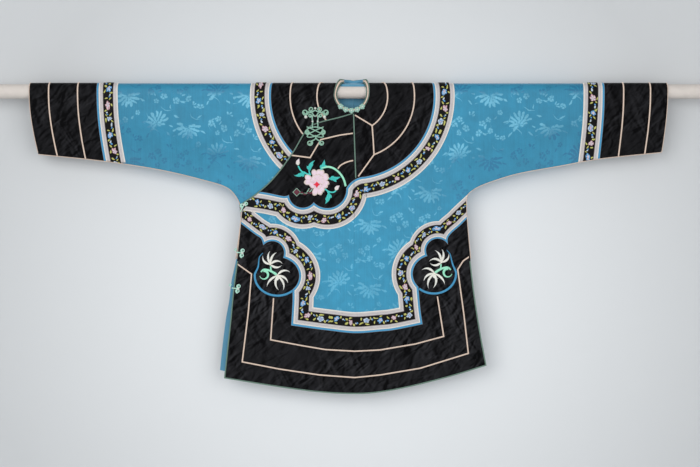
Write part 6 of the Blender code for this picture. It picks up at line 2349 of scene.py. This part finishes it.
class JACKET_OT_stage(bpy.types.Operator):
    """Sets the wall, the floor, the lights and the camera"""

    bl_idname = "jacket.stage"
    bl_label = "Stage"

    def execute(self, context):
        scene = context.scene
        settings = scene.jacket_stage
        add_wall(settings)
        add_plane("floor", FLOOR_SIZE, (0, 0, FLOOR_HEIGHT), (0, 0, 0), settings.floor)
        for name, place, extent, power in LIGHTS:
            add_light(name, place, extent, getattr(settings, power))
        world = bpy.data.worlds.new("pale room")
        world.use_nodes = True
        background = world.node_tree.nodes["Background"]
        background.inputs["Color"].default_value = (*ROOM_COLOUR, 1)
        background.inputs["Strength"].default_value = ROOM_STRENGTH
        scene.world = world
        scene.view_settings.view_transform = "Standard"
        camera = bpy.data.cameras.new("camera")
        camera.sensor_width = SENSOR_WIDTH
        camera.lens = settings.camera_distance * SENSOR_WIDTH / settings.view_width
        camera.clip_end = CAMERA_REACH
        view = bpy.data.objects.new("camera", camera)
        scene.collection.objects.link(view)
        view.location = (VIEW_X * MM, -settings.camera_distance, VIEW_Z * MM)
        view.rotation_euler = (math.pi / 2, 0, 0)
        scene.camera = view
        return {"FINISHED"}


def add_plane(name, extent, place, turn, colour):
    """A stage plane and its finish, with painted shade that darkens it away from the lit middle."""
    bpy.ops.object.select_all(action="DESELECT")
    bpy.ops.mesh.primitive_plane_add(size=1, location=place, rotation=turn)
    plane = bpy.context.object
    plane.name = name
    plane.scale = (*extent, 1)
    bpy.ops.object.transform_apply(location=True, rotation=True, scale=True)
    paint = Finish(name, 0.9, coordinates="object")
    # Painted shade: the colour darkens with distance from the lit middle
    away = paint.vector("DISTANCE", paint.place, LIT_MIDDLE, output="Value")
    share = paint.value("MapRange", {"Value": away, "From Min": LIT_REACH[0], "From Max": LIT_REACH[1]})
    shade = paint.blend(share, colour, [value * UNLIT_SHARE for value in colour])
    paint.feed(paint.shader.inputs["Base Color"], shade)
    plane.data.materials.append(paint.material)
    return plane, paint


def add_wall(settings):
    """The wall behind the jacket, which shows from the front alone."""
    wall, paint = add_plane("wall", WALL_SIZE, (0, settings.wall_distance, WALL_MIDDLE), (math.pi / 2, 0, 0),
                            settings.wall)
    clear = paint.value("BsdfTransparent", {})
    behind = paint.value("NewGeometry", {}, "Backfacing")
    solid = Value(paint, paint.shader.outputs[0])
    choice = paint.value("MixShader", {0: behind, 1: solid, 2: clear})
    paint.feed(paint.tree.nodes["Material Output"].inputs["Surface"], choice)
    wall.visible_shadow = False


def add_light(name, place, extent, power):
    """A large soft light that faces the jacket."""
    light = bpy.data.lights.new(name, "AREA")
    light.size = extent
    light.energy = power
    lamp = bpy.data.objects.new(name, light)
    bpy.context.scene.collection.objects.link(lamp)
    lamp.location = place
    lamp.rotation_euler = (LIGHT_AIM - Vector(place)).to_track_quat("-Z", "Y").to_euler()


STEPS = ("rod", "damask", "satin", "trims", "piping", "bindings", "neckband", "frogs", "peony",
         "chrysanthemums", "stage")


class JACKET_PT_panel(bpy.types.Panel):
    """Lists the steps of the jacket and its colours and sizes"""

    bl_idname = "JACKET_PT_panel"
    bl_label = "Silk jacket"
    bl_space_type = "VIEW_3D"
    bl_region_type = "UI"
    bl_category = "Jacket"

    def draw(self, context):
        for step in STEPS:
            self.layout.operator(f"jacket.{step}")
        scene = context.scene
        for settings in (scene.jacket_sizes, scene.jacket_colours, scene.jacket_stage):
            box = self.layout.box()
            for name in settings.bl_rna.properties.keys():
                if name not in ("rna_type", "name"):
                    box.prop(settings, name)


CLASSES = (JacketColours, JacketSizes, StageSettings, JACKET_OT_rod, JACKET_OT_damask, JACKET_OT_satin,
           JACKET_OT_trims, JACKET_OT_piping, JACKET_OT_bindings, JACKET_OT_neckband, JACKET_OT_frogs,
           JACKET_OT_peony, JACKET_OT_chrysanthemums, JACKET_OT_stage, JACKET_PT_panel)


def register():
    for cls in CLASSES:
        bpy.utils.register_class(cls)
    bpy.types.Scene.jacket_colours = PointerProperty(type=JacketColours)
    bpy.types.Scene.jacket_sizes = PointerProperty(type=JacketSizes)
    bpy.types.Scene.jacket_stage = PointerProperty(type=StageSettings)


def unregister():
    del bpy.types.Scene.jacket_stage
    del bpy.types.Scene.jacket_sizes
    del bpy.types.Scene.jacket_colours
    for cls in reversed(CLASSES):
        bpy.utils.unregister_class(cls)


def write_sizes():
    """Updates the view layer."""
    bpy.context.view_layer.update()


def main():
    register()
    make_materials()
    for step in STEPS:
        getattr(bpy.ops.jacket, step)()
    write_sizes()


if __name__ == "__main__":
    main()
